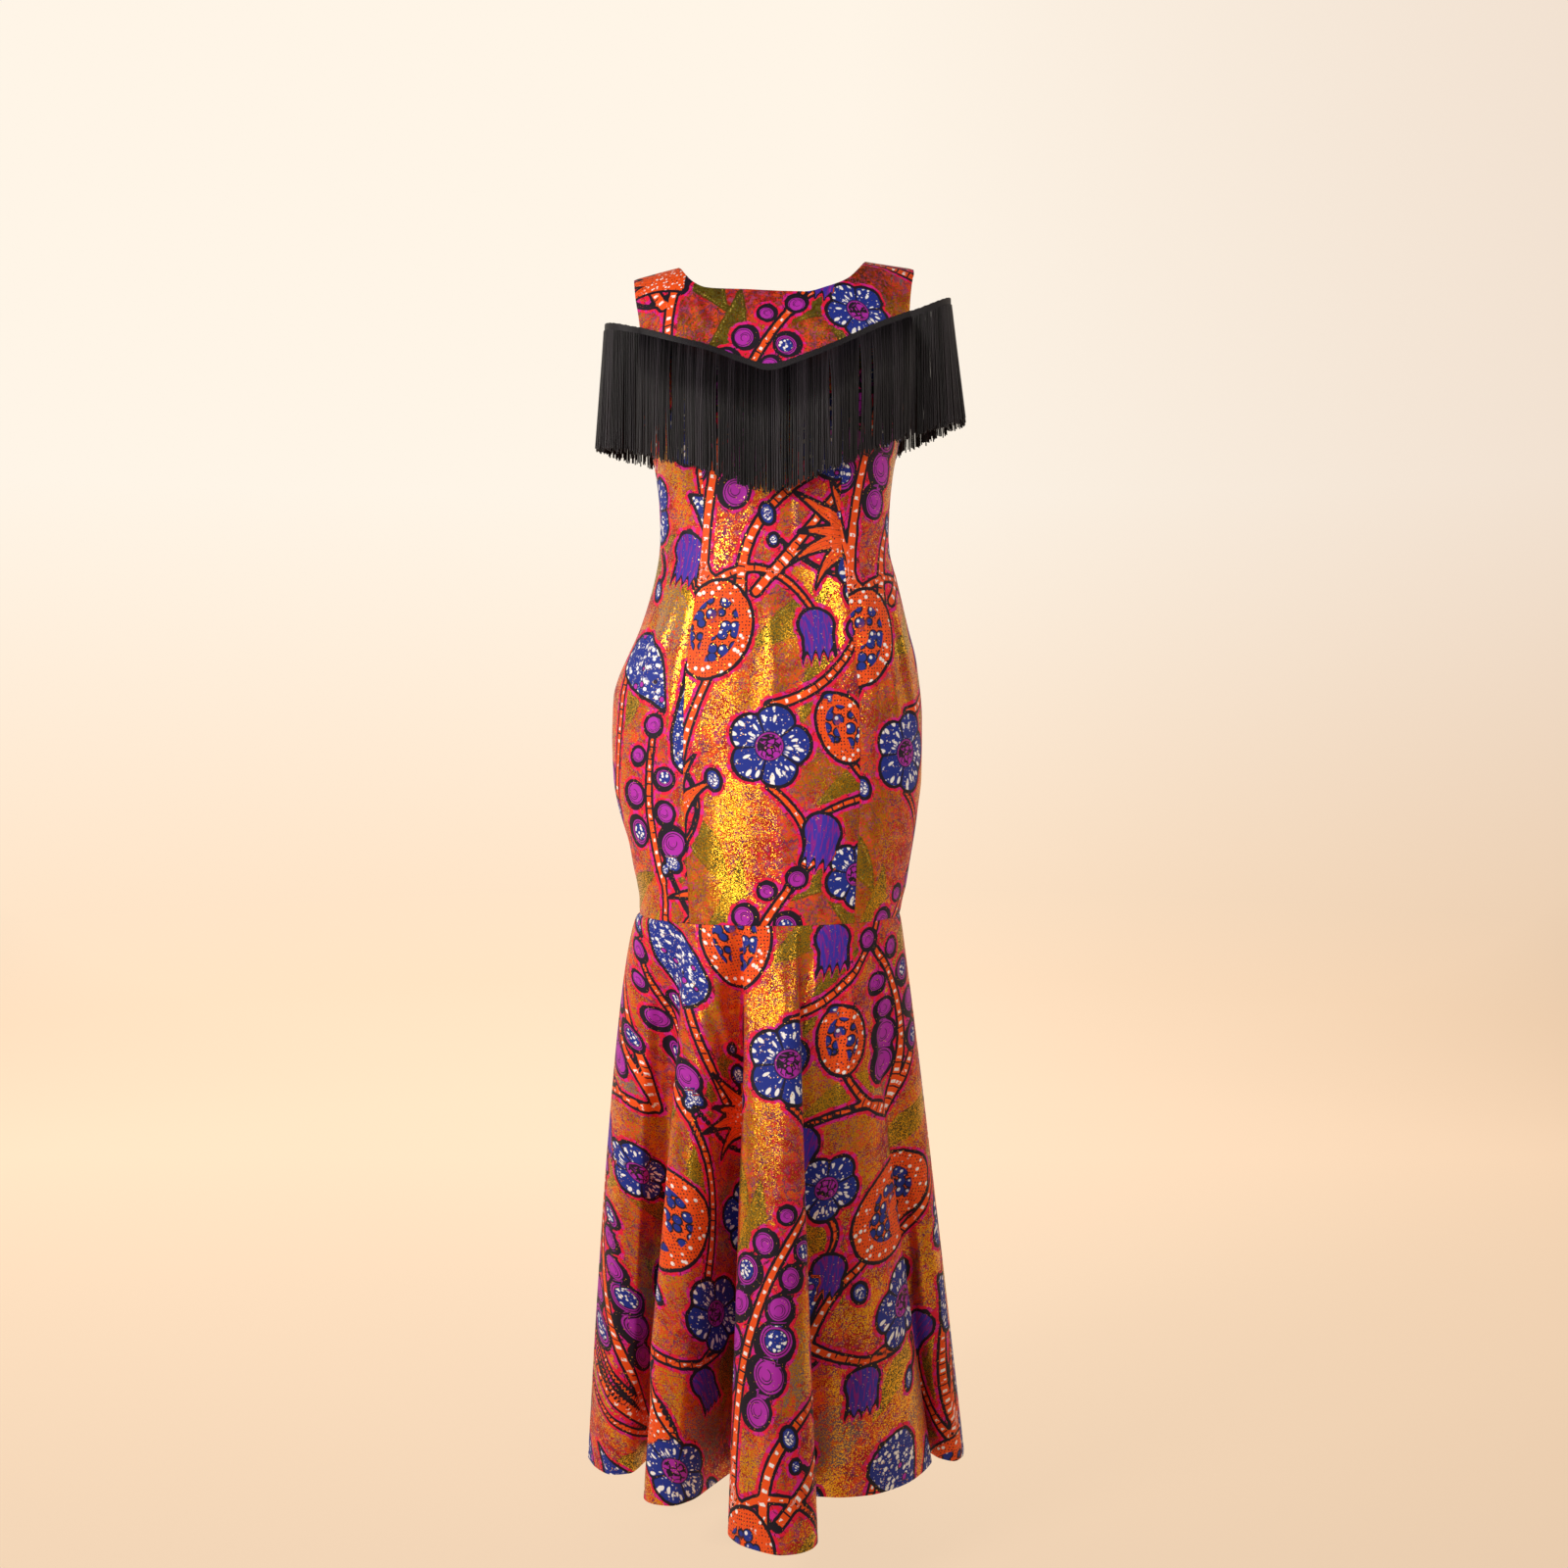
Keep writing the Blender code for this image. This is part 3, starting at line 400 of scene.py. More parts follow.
def print_of(u, v):
    """The print at points of the cloth, in mm: the distance to the nearest motif, its kind and the place in
    it, the distance to the nearest stem and how far along it that is, and the distances to the ground's leaf
    and bell."""
    u, v = np.mod(u / DRAWN, TILE[0]), np.mod(v / DRAWN, TILE[1])
    out = {n: np.full(len(u), REACH) for n in ("motif", "stem", "leaf", "bell")}
    out.update({n: np.zeros(len(u)) for n in ("kind", "p", "q", "along")})
    for kind, x, y, size, form in motifs:
        for near, dx, dy in tiled(u, v, x, y, size):
            d, p, q = form(dx, dy)
            best = d < out["motif"][near]
            for name, value in (("motif", d), ("kind", kind + 0 * d), ("p", p), ("q", q)):
                out[name][near[best]] = value[best]
    for kind, x, y, size, form in ground_motifs:
        for near, dx, dy in tiled(u, v, x, y, size):
            out[kind][near] = np.minimum(out[kind][near], form(dx, dy)[0])
    for points, half in stems:
        middle = (points.min(axis=0) + points.max(axis=0)) / 2
        size = (points.max(axis=0) - points.min(axis=0)).max() / 2
        run = length_along(points)
        for near, dx, dy in tiled(u, v, middle[0], middle[1], size + half):
            for n in range(len(points) - 1):
                ax, ay = points[n] - middle
                bx, by = points[n + 1] - points[n]
                t = np.clip(((dx - ax) * bx + (dy - ay) * by) / (bx * bx + by * by), 0, 1)
                share = (run[n] + t * (run[n + 1] - run[n])) / run[-1]
                tapered = half * (1.14 - 0.42 * share)
                d = np.hypot(dx - ax - t * bx, dy - ay - t * by) - tapered
                best = d < out["stem"][near]
                out["stem"][near[best]] = d[best]
                out["along"][near[best]] = share[best] * run[-1]
    for name in ("motif", "stem", "leaf", "bell", "along"):
        out[name] *= DRAWN
    return out


def new_piece(name, points, faces, material, fields=(), angle=50):
    """An object from points and faces, with the fields that its material reads and smooth up to an angle."""
    mesh = bpy.data.meshes.new(name)
    mesh.from_pydata(points.tolist(), [], faces)
    for field, values in fields:
        kind, slot = ("FLOAT_VECTOR", "vector") if isinstance(values, tuple) else ("FLOAT", "value")
        layer = mesh.attributes.new(field, kind, "POINT")
        layer.data.foreach_set(slot, np.asarray(values, np.float32).T.ravel())
    mesh.materials.append(material)
    piece = bpy.data.objects.new(name, mesh)
    bpy.context.scene.collection.objects.link(piece)
    bpy.ops.object.select_all(action="DESELECT")
    piece.select_set(True)
    bpy.context.view_layer.objects.active = piece
    bpy.ops.object.shade_smooth_by_angle(angle=math.radians(angle))
    return piece


def cloth_shell(name, outer, out, place, shift, ink):
    """A closed thin shell from a grid of points and the way out of the cloth at each, with the print's
    fields."""
    rows, cols = outer.shape[:2]
    count = rows * cols
    points = np.concatenate([outer.reshape(-1, 3), (outer - out * CLOTH).reshape(-1, 3)])
    a = (np.arange(rows - 1)[:, None] * cols + np.arange(cols - 1)[None]).ravel()
    front = np.stack([a, a + 1, a + cols + 1, a + cols], axis=1)
    foot, last = np.arange(cols), np.arange(1, rows) * cols + cols - 1
    head, first = (rows - 1) * cols + np.arange(cols - 2, -1, -1), np.arange(rows - 2, 0, -1) * cols
    edge = np.concatenate([foot, last, head, first])
    after = np.roll(edge, -1)
    rim = np.stack([after, edge, edge + count, after + count], axis=1)
    faces = np.concatenate([front, front[:, ::-1] + count, rim])
    p = points[faces]
    if (p[:, 0] * np.cross(p[:, 1] - p[:, 0], p[:, 2] - p[:, 0])).sum() < 0:
        faces = faces[:, ::-1]
    u, v = place[0].ravel() + shift[0], place[1].ravel() + shift[1]
    seen = {n: np.tile(f, 2) for n, f in print_of(u, v).items()}
    outside = np.repeat([1.0, 0.0], count)
    fields = [("cloth", (np.tile(u, 2), np.tile(v, 2), outside)),
              ("outline", (seen["motif"], seen["kind"], seen["stem"])),
              ("inside", (seen["p"], seen["q"], seen["along"])),
              ("ground", (seen["leaf"], seen["bell"], outside))]
    return new_piece(name, points, faces.tolist(), ink, fields)


def linear(code):
    """An sRGB hex colour as the linear numbers that a shader takes."""
    parts = [int(code[i : i + 2], 16) / 255 for i in (0, 2, 4)]
    return tuple(c / 12.92 if c <= 0.04045 else ((c + 0.055) / 1.055) ** 2.4 for c in parts) + (1.0,)


def start_material(name):
    """An empty material and its tree, to which add then adds."""
    material = bpy.data.materials.new(name)
    material.use_nodes = True
    material.node_tree.nodes.clear()
    return material, material.node_tree


def add(kind, *sockets, out=0, **settings):
    """Adds a node to the tree in hand, with its settings and links. sockets fill its inputs in order, or by
    name where one is a pair of a name and a value. Gives the output or outputs asked for."""
    node = tree.nodes.new("ShaderNode" + kind)
    for key, value in settings.items():
        setattr(node, key, value)
    for place, value in enumerate(sockets):
        named = isinstance(value, tuple) and isinstance(value[0], str)
        target = node.inputs[value[0] if named else place]
        value = value[1] if named else value
        if isinstance(value, bpy.types.NodeSocket):
            tree.links.new(value, target)
        elif value is not None:
            target.default_value = value
    return node.outputs[out] if len(node.outputs) else node


# Wax-print cotton: a plain weave, printed through in resist and then overprinted with gold glitter. The
# resist leaves crackle and mottling in every colour, and the glitter flares where the cloth faces the
# light. Pattern scales are shares of the cloth's own mm, so 1 / 26 draws blots 26 mm wide.
wax_print, tree = start_material("waxprint_cotton_gold_glitter")
ORANGE, MAUVE, RUST, OLIVE, GHOST = (linear(c) for c in ("DC4814", "A83C60", "A81810", "665C12", "7C6266"))
HALO_RED, HALO_PINK, INK, FLAME = (linear(c) for c in ("E6123E", "D81C8C", "160C1E", "F2520E"))
MOSS, STRAW, VEIN = (linear(c) for c in ("4E420C", "D2B44A", "6E2A54"))
WHITE, BLUE, NAVY = (linear(c) for c in ("F8F6F6", "1B2E90", "141038"))
PURPLE, PLUM, VIOLET, GOLD = (linear(c) for c in ("AE26AC", "84188E", "3C2CAA", "E6A82A"))

cloth = add("Attribute", out=1, attribute_name="cloth")
outline, inside, ground = (
    add("SeparateXYZ", add("Attribute", out=1, attribute_name=field), out=slice(None))
    for field in ("outline", "inside", "ground")
)
wander = add("TexNoise", cloth, None, 0.09, 2.0, out=1)
wander = add("VectorMath", wander, (0.5, 0.5, 0.5), operation="SUBTRACT")
bent = add("VectorMath", wander, (14.0, 14.0, 0.0), cloth, operation="MULTIPLY_ADD")
shake = add("Math", add("TexNoise", cloth, None, 0.16, 3.0), 0.5, operation="SUBTRACT")
p, q, along = inside
far = add("VectorMath", add("CombineXYZ", p, q), out=1, operation="LENGTH")


def below(value, edge, soft=0.35):
    """1 under an edge and 0 over it, with a soft step as wide as a print's."""
    return add("MapRange", value, edge - soft, edge + soft, 1.0, 0.0, interpolation_type="SMOOTHSTEP")


def both(first, *others):
    """Where several shares hold at once."""
    for other in others:
        first = add("Math", first, other, operation="MULTIPLY")
    return first


def elsewhere(share):
    """Where a share doesn't hold."""
    return add("Math", 1.0, share, operation="SUBTRACT")


def uneven(edge, by):
    """A distance from an outline, made uneven over that many mm, as wax leaves it."""
    return add("Math", shake, by, edge, operation="MULTIPLY_ADD")


def blots(size, amount, soft=0.06, at=cloth):
    """Mottling of a size in mm over about the given share of the cloth."""
    field, edge = add("TexNoise", at, None, 1 / size, 2.0), 0.5 + (0.5 - amount) * 0.42
    return add("MapRange", field, edge - soft, edge + soft, 0.0, 1.0, interpolation_type="SMOOTHSTEP")


def dots(size, radius, at=cloth, random=1.0):
    """Round spots, one to each cell of a size in mm, with a radius as a share of it."""
    return below(add("TexVoronoi", at, None, 1 / size, ("Randomness", random)), radius, 0.05)


def cracks(size, wide):
    """Fine wandering lines, of a half width in mm, round cells of a size in mm."""
    edge = add("TexVoronoi", bent, None, 1 / size, feature="DISTANCE_TO_EDGE")
    return below(edge, wide / size, 0.3 / size)


def layered(look, *coats):
    """Lays colours over a colour in turn, each by its share."""
    for share, colour in coats:
        look = add("MixRGB", share, look, colour)
    return look


def ring(value, middle, half, soft=0.02):
    """1 where a value lies within a half width of its middle."""
    away = add("Math", value, middle, operation="SUBTRACT")
    return below(add("Math", away, operation="ABSOLUTE"), half, soft)


def off_centre(x, y):
    """How far a point is from a place inside its motif."""
    return add("VectorMath", add("CombineXYZ", p, q), (x, y, 0.0), out=1, operation="DISTANCE")


# The ground: orange with mauve and rust bloom, thin dark veins, olive leaves and faint bells.
leaf_edge = uneven(ground[0], 3.0)
leaf_here, bell_here = below(leaf_edge, 0.0, 0.6), below(uneven(ground[1], 3.0), 0.0, 1.2)
veins = both(cracks(24, 0.5), blots(30, 0.7))
look = layered(ORANGE, (blots(26, 0.47), RUST), (blots(9, 0.34), MAUVE), (blots(3.2, 0.2), HALO_RED),
               (veins, VEIN), (both(cracks(6, 0.35), blots(16, 0.4)), VEIN))
edging = both(ring(leaf_edge, -3.4, 0.9, 0.3), dots(2.6, 0.38, random=0.4))
leaf = layered(OLIVE, (blots(12, 0.4), MOSS), (ring(leaf_edge, -0.5, 0.7, 0.3), MOSS), (edging, STRAW),
               (cracks(13, 0.5), MOSS))
look = layered(look, (both(bell_here, blots(5, 0.62)), GHOST), (both(leaf_here, blots(3, 0.96)), leaf))

# Round every motif and stem the resist leaves a halo of red and pink, cut across by fine lines.
motif, stem = uneven(outline[0], 2.2), uneven(outline[2], 1.8)
halo = below(uneven(add("Math", motif, stem, operation="MINIMUM"), 4.0), 6.0, 0.5)
halo_cracks = both(cracks(11, 0.3), blots(8, 0.5))
look = layered(look, (halo, layered(HALO_RED, (blots(11, 0.42, 0.03), HALO_PINK), (halo_cracks, INK))))

# Stems: orange between dark edges, with white dashes and dark bars along them.
beat = add("Math", add("Math", along, 1 / 14, operation="MULTIPLY"), operation="FRACT")
dash = both(ring(beat, 0.45, 0.13, 0.03), below(stem, -2.6, 0.3), blots(7, 0.62, 0.03))
bar = both(below(beat, 0.13, 0.03), blots(70, 0.5, 0.01))
look = layered(look, (below(stem, 2.1), INK),
               (below(stem, -1.3), layered(FLAME, (dash, WHITE), (bar, INK))))

# Berries: purple discs with a dark crescent and rings, some with a blue eye crackled white.
tilted = off_centre(0.15, -0.12)
crackle = both(dots(4.2, 0.42), blots(7, 0.75))
outer_ring = both(ring(off_centre(0.06, 0.02), 0.42, 0.028), below(p, 0.2, 0.1))
inner_ring = both(ring(off_centre(0.1, 0.0), 0.29, 0.026), below(q, 0.1, 0.1))
berry = layered(PURPLE, (ring(tilted, 0.71, 0.03), INK), (outer_ring, INK), (inner_ring, INK),
                (elsewhere(below(tilted, 0.83, 0.03)), INK))
eyed = layered(berry, (below(tilted, 0.60, 0.03), INK),
               (below(tilted, 0.54, 0.03), layered(BLUE, (crackle, WHITE))))

# Blossoms: blue petals crackled white towards their edges, parted by dark lines, round a purple heart.
turn = add("Math", q, p, operation="ARCTAN2")
rays = add("CombineXYZ", add("Math", turn, 5.2, operation="MULTIPLY"),
           add("Math", far, 3.4, operation="MULTIPLY"))
streaks = both(dots(1, 0.33, rays), elsewhere(below(far, 0.42, 0.06)))
petals = add("Math", add("Math", turn, 2.5, operation="MULTIPLY"), operation="COSINE")
parting = add("Math", petals, operation="ABSOLUTE")
blossom = layered(BLUE, (streaks, WHITE), (dots(5, 0.19), WHITE), (below(parting, 0.14, 0.05), NAVY),
                  (below(far, 0.36, 0.02), INK), (below(far, 0.33, 0.02), PURPLE),
                  (both(below(far, 0.30, 0.02), cracks(7, 0.8)), INK))

# Heart leaves: blue thick with white crackle, and purple seeds.
seeds = add("TexVoronoi", cloth, None, 1 / 19, ("Randomness", 0.7))
heart = layered(BLUE, (both(dots(6.4, 0.40), blots(10, 0.55)), WHITE), (dots(3.1, 0.17), WHITE),
                (below(seeds, 0.22, 0.02), INK), (below(seeds, 0.16, 0.02), PURPLE))

# Cut fruit: orange flesh spotted dark and white round a ring of blue seeds.
ball = add("TexVoronoi", cloth, None, 1 / 13, ("Randomness", 0.5))
shine = add("VectorMath", cloth, (2.0, -2.2, 0.0), operation="ADD")
shine = add("TexVoronoi", shine, None, 1 / 13, ("Randomness", 0.5))
stalk_side = both(ring(p, -0.1, 0.12), below(q, 0.2))
seeded = both(ring(far, 0.40, 0.25, 0.01), elsewhere(stalk_side))
rind_spots = both(dots(8.5, 0.27), ring(far, 0.84, 0.15))
fruit = layered(FLAME, (dots(3.8, 0.24, random=0.3), INK), (rind_spots, WHITE),
                (both(seeded, below(ball, 0.56, 0.03)), INK), (both(seeded, below(ball, 0.44, 0.03)), BLUE),
                (both(seeded, below(shine, 0.17, 0.03)), WHITE))

# Horns: orange petals with white blots and dark flecks. Bells: violet with plum streaks. Buds: blue and
# white.
lips = add("Math", add("Math", p, 4.7, operation="MULTIPLY"), operation="COSINE")
lips = add("Math", lips, operation="ABSOLUTE")
horn = layered(FLAME, (both(dots(5.0, 0.27), below(q, 0.55, 0.1)), WHITE), (dots(4.4, 0.2), INK),
               (both(below(lips, 0.10, 0.04), ring(q, 0.75, 0.3)), INK))
fall = add("CombineXYZ", add("Math", p, 3.6, operation="MULTIPLY"),
           add("Math", q, 1.5, operation="MULTIPLY"))
bell = layered(VIOLET, (blots(0.5, 0.42, at=fall), PLUM), (both(dots(1, 0.12, fall), below(q, 0.9)), PURPLE))
bud = layered(BLUE, (below(far, 0.62, 0.08), WHITE), (cracks(3.4, 0.5), BLUE))

# Each motif has a dark outline, and the colours of its kind inside.
look = layered(look, (below(motif, 2.6), INK))
drawn = below(motif, -1.3)
for kind, colours in enumerate((berry, eyed, blossom, heart, fruit, horn, bell, bud)):
    of_kind = add("Math", outline[1], float(kind), 0.3, operation="COMPARE")
    look = layered(look, (both(drawn, of_kind), colours))

# The glitter: flakes drawn 0.9 mm wide, about three times the real ones, each at its own tilt, denser in
# broad uneven patches, and none on the wrong side of the cloth.
free = both(elsewhere(halo), ground[2])
patches = add("MapRange", add("TexNoise", cloth, None, 1 / 90, 1.5), 0.38, 0.62, 0.12, 0.58)
patches = add("Math", both(leaf_here, 0.36), patches, operation="MAXIMUM")
cover = add("Math", both(free, patches), both(ground[2], 0.012), operation="ADD")
flake = add("TexVoronoi", cloth, None, 1 / 0.9, out=1)
gold_here = add("Math", add("SeparateXYZ", flake), cover, operation="LESS_THAN")
lean = add("VectorMath", flake, (0.5, 0.5, 0.5), operation="SUBTRACT")
facing = add("VectorMath", lean, (0.25, 0.25, 0.25), add("NewGeometry", out=1), operation="MULTIPLY_ADD")
facing = add("VectorMath", facing, operation="NORMALIZE")
rumple = add("TexNoise", cloth, None, 1 / 26, 3.0)
bump = add("Bump", 0.25, 0.0012, None, rumple)
cotton = add("BsdfPrincipled", look, ("Roughness", 0.62), ("Specular IOR Level", 0.25),
             ("Sheen Weight", 0.04), ("Sheen Roughness", 0.5), ("Normal", bump))
glitter = add("BsdfPrincipled", GOLD, ("Metallic", 1.0), ("Roughness", 0.30), ("Normal", facing))
add("OutputMaterial", add("MixShader", gold_here, cotton, glitter))

# Creases of the front: ends across (mm from the centre) and height (m), half width and height in mm.
FRONT_CREASES = [
    (-4, -0.375, -6, -0.585, 13, 2.4), (63, -0.235, 66, -0.330, 5, 2.1), (79, -0.225, 80, -0.318, 5, 1.9),
    (-112, -0.375, -166, -0.545, 9, 3.7), (-132, -0.395, -182, -0.520, 7, 2.7),
    (-92, -0.385, -126, -0.585, 10, 2.6), (-70, -0.400, -88, -0.600, 12, 1.6),
    (150, -0.365, 196, -0.550, 9, 3.4), (128, -0.380, 164, -0.580, 8, 2.4),
    (108, -0.360, 126, -0.560, 9, 1.9), (-140, -0.300, -84, -0.336, 6, 2.1),
    (-136, -0.334, -96, -0.352, 5, 1.4), (140, -0.292, 88, -0.326, 6, 2.1),
    (138, -0.330, 100, -0.350, 5, 1.6), (-62, -0.585, -66, -0.745, 15, 2.1),
    (52, -0.575, 60, -0.740, 14, 1.9), (-128, -0.620, -118, -0.752, 10, 2.2),
    (122, -0.600, 112, -0.750, 11, 2.2), (10, -0.620, 4, -0.752, 12, 1.3),
    (-30, -0.250, -26, -0.360, 7, 1.3), (24, -0.245, 30, -0.345, 7, 1.3), (8, -0.052, -34, -0.118, 10, 2.2),
    (30, -0.050, 58, -0.104, 9, 1.8), (-96, -0.050, -70, -0.100, 7, 1.3),
    (112, -0.020, 118, -0.080, 7, 1.3), (-40, -0.440, -52, -0.540, 16, 1.4),
    (44, -0.450, 50, -0.550, 15, 1.4),
]


def body_cloth(face, k, z):
    """A body panel's outer grid with its creases, the way out of it, and its place across and up in mm."""
    plain, out = body(face, k, z), outward(face, k, z)
    steps = np.linspace(0, 1, 40)[:, None, None] * k[None]
    from_centre = np.diff(body(face, steps, z[None] + 0 * steps), axis=0)
    across = np.sign(k) * np.hypot(from_centre[..., 0], from_centre[..., 1]).sum(axis=0) * 1000
    up = length_along(plain[..., 1:]) * 1000
    held = np.clip((1 - np.abs(k)) / 0.06, 0, 1)
    lift = creases(across, z, FRONT_CREASES if face < 0 else BACK_CREASES) * np.where(z < YOKE_Z, held, 1)
    return plain + out * lift[..., None], out, (across, up)


def drawn_in(grid, column, toward, by):
    """Draws one edge column of a grid in along its rows by a distance, for the gap at a seam."""
    grid[:, column] += unit(grid[:, toward] - grid[:, column]) * np.asarray(by).reshape(-1, 1)


# Rows of the body panels from the knee seam to the yoke, closer together at both ends.
PANEL_ROWS, STRAP_COLUMNS = 196, 17
seam_z = KNEE_Z + SEAM_GAP / 2
lower = seam_z + (BELOW_YOKE - seam_z) * close_at_ends(PANEL_ROWS)
right_k, left_k = -neck_k(-1, -1), neck_k(-1, 1)
right_strap = right_k - (1 + right_k) * close_at_ends(STRAP_COLUMNS)
left_strap = left_k + (1 - left_k) * close_at_ends(STRAP_COLUMNS)
between = right_k + (left_k - right_k) * close_at_ends(68)
across_front = np.unique(np.concatenate([right_strap, between, left_strap]))
yoke_k, yoke_z, on_seam = yoke_grid(-1, across_front)
lower_k = [across_front * np.where(across_front < 0, seam_k(z, -1), seam_k(z, 1)) for z in lower]
k = np.concatenate([np.stack(lower_k), yoke_k])
z = np.concatenate([np.repeat(lower[:, None], len(across_front), axis=1), yoke_z])
grid, out, place = body_cloth(-1, k, z)
grid = rolled_edges(grid, out, ("first", "last", "foot", "head"))
slant = 0.5 * SEAM_GAP * np.sqrt(1 + np.gradient(smooth(PRINCESS, 1, lower), lower) ** 2)
by = np.concatenate([slant, np.zeros(len(yoke_z))])
drawn_in(grid, 0, 1, by)
drawn_in(grid, -1, -2, by)
grid[-1, on_seam, 1] = -SEAM_GAP / 2
front_centre = cloth_shell("front_centre_cloth", grid, out, place, (200, 240), wax_print)
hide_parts("front_centre")
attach(front_centre, "root")


# Side fronts: two panels of the same cotton, from the princess seams to the side seams and the lower
# armholes, eased over the bust and sewn to the flare at the knee seam.
for name, side, shift in (("front_side_right", -1, (120, 330)), ("front_side_left", 1, (30, 250))):
    start = seam_k(lower, side)
    v = close_at_ends(38)
    k = side * (start[:, None] + v[None] * (1 - start[:, None]))
    z = np.repeat(lower[:, None], len(v), axis=1)
    grid, out, place = body_cloth(-1, k, z)
    grid = rolled_edges(grid, out, ("first", "last", "foot"))
    drawn_in(grid, 0, 1, slant)
    grid[lower < UNDERARM_Z + 1e-6, -1, 1] = -SEAM_GAP / 2
    piece = cloth_shell(name + "_cloth", grid, out, place, shift, wax_print)
    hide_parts(name)
    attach(piece, "root")


# Backs: two panels of the same cotton joined at the centre back, where the dress closes, from the knee seam
# to the back neckline and the shoulders. They hollow at the waist and round over the seat.
BACK_CREASES = [
    (-90, -0.325, -8, -0.352, 9, 2.4), (92, -0.318, 10, -0.346, 9, 2.5), (-70, -0.292, -6, -0.306, 7, 1.7),
    (76, -0.296, 8, -0.318, 7, 1.5), (-118, -0.350, -172, -0.500, 9, 2.8),
    (120, -0.356, 176, -0.520, 9, 2.7), (-96, -0.372, -134, -0.560, 11, 2.1),
    (98, -0.380, 130, -0.570, 11, 2.2), (-60, -0.560, -70, -0.744, 14, 2.1),
    (54, -0.570, 62, -0.748, 14, 2.0), (-118, -0.600, -112, -0.748, 11, 2.0),
    (116, -0.610, 108, -0.748, 10, 2.0), (-52, -0.110, -64, -0.240, 9, 1.5),
    (58, -0.104, 66, -0.236, 9, 1.5), (-130, -0.190, -90, -0.270, 8, 1.7),
    (132, -0.186, 94, -0.262, 8, 1.7), (-22, -0.600, -26, -0.700, 12, 1.2),
    (26, -0.380, 40, -0.470, 12, 1.4),
]
for name, side, shift, wide in (("back_right", -1, (60, 210), 0.260), ("back_left", 1, (330, 400), 0.255)):
    strap_k = neck_k(1, side)
    strap = strap_k + (1 - strap_k) * close_at_ends(STRAP_COLUMNS)
    u = np.sort(side * np.unique(np.concatenate([strap_k * close_at_ends(40), strap])))
    yoke_k, yoke_z, on_seam = yoke_grid(1, u)
    centre, outside = (0, -1) if side > 0 else (-1, 0)
    k = np.repeat(u[None], len(lower) + len(yoke_z), axis=0)
    z = np.concatenate([np.repeat(lower[:, None], len(u), axis=1), yoke_z])
    grid, out, place = body_cloth(1, k, z)
    grid = rolled_edges(grid, out, ("first", "last", "foot", "head"))
    grid[:, centre, 0] = side * SEAM_GAP / 2
    grid[: len(lower)][lower < UNDERARM_Z + 1e-6, outside, 1] = SEAM_GAP / 2
    grid[-1, on_seam, 1] = SEAM_GAP / 2
    piece = cloth_shell(name + "_cloth", grid, out, (-place[0], place[1]), shift, wax_print)
    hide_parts(name)
    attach(piece, "root")


# The flare: two wide pieces of the same cotton, sewn to the body at the knee seam and to each other at the
# sides. Their extra width falls in deep soft folds to a narrow stitched hem.
HEM_STITCH = 10  # mm from the hem to its line of stitches, which sinks in
FLARE_COLUMNS, FLARE_ROWS = 292, 150

# A fold's row: where it leaves the knee seam (degrees from the front, towards +X), its X and Y at the hem in
# mm, and how it spreads on the way down (1 is straight).
FRONT_FOLDS = [
    (-90.0, -218, 0, 0.55), (-80.0, -205, -30, 0.55), (-70.0, -184, -50, 0.58), (-61.0, -164, -46, 0.70),
    (-52.0, -142, 0, 0.72), (-46.0, -125, 14, 0.68), (-41.0, -118, -8, 0.68), (-37.0, -128, -64, 0.68),
    (-33.0, -144, -106, 0.70), (-29.0, -134, -124, 0.70), (-24.5, -112, -130, 0.70),
    (-20.5, -90, -116, 0.70), (-17.0, -66, -76, 0.68), (-14.5, -44, -40, 0.66), (-12.8, -25, -26, 0.66),
    (-11.5, -25, -84, 0.80), (-10.3, -42, -158, 1.00), (-9.3, -47, -193, 1.00), (-7.0, -38, -216, 1.00),
    (-3.5, -17, -234, 1.00), (1.0, 10, -246, 1.00), (4.5, 27, -243, 1.00), (8.0, 45, -229, 1.00),
    (10.0, 50, -212, 1.00), (11.0, 47, -175, 1.00), (12.0, 38, -135, 1.00), (13.2, 31, -109, 1.00),
    (14.8, 46, -106, 1.00), (18.5, 75, -109, 1.00), (24.0, 110, -103, 1.00), (29.0, 134, -90, 1.00),
    (34.0, 158, -68, 1.00), (38.0, 179, -34, 1.00), (40.5, 187, -12, 1.00), (44.0, 178, 6, 1.00),
    (49.0, 171, 14, 1.00), (55.0, 182, 15, 1.00), (63.0, 197, -5, 0.98), (75.0, 213, -13, 0.94),
    (90.0, 225, 0, 0.90),
]
BACK_FOLDS = [
    (90.0, 225, 0, 0.90), (100.0, 228, 26, 0.90), (109.0, 214, 52, 0.95), (117.0, 186, 60, 1.00),
    (125.0, 160, 70, 1.00), (132.0, 157, 98, 1.00), (138.0, 168, 134, 1.00), (144.0, 160, 166, 1.00),
    (150.0, 134, 182, 1.00), (156.0, 104, 172, 1.00), (161.0, 84, 142, 1.00), (165.0, 72, 112, 1.00),
    (169.0, 58, 118, 1.00), (172.0, 49, 150, 1.00), (175.5, 43, 190, 1.00), (179.0, 26, 222, 1.00),
    (183.0, -4, 233, 1.00), (187.0, -32, 222, 1.00), (190.0, -48, 192, 1.00), (193.0, -54, 152, 1.00),
    (196.0, -62, 120, 1.00), (200.0, -78, 107, 1.00), (204.0, -94, 126, 1.00), (209.0, -110, 160, 1.00),
    (215.0, -134, 182, 1.00), (221.0, -159, 174, 1.00), (227.0, -172, 146, 1.00), (233.0, -168, 112, 1.00),
    (240.0, -160, 84, 0.95), (247.0, -172, 66, 0.85), (255.0, -196, 52, 0.70), (263.0, -216, 28, 0.60),
    (270.0, -218, 0, 0.55),
]
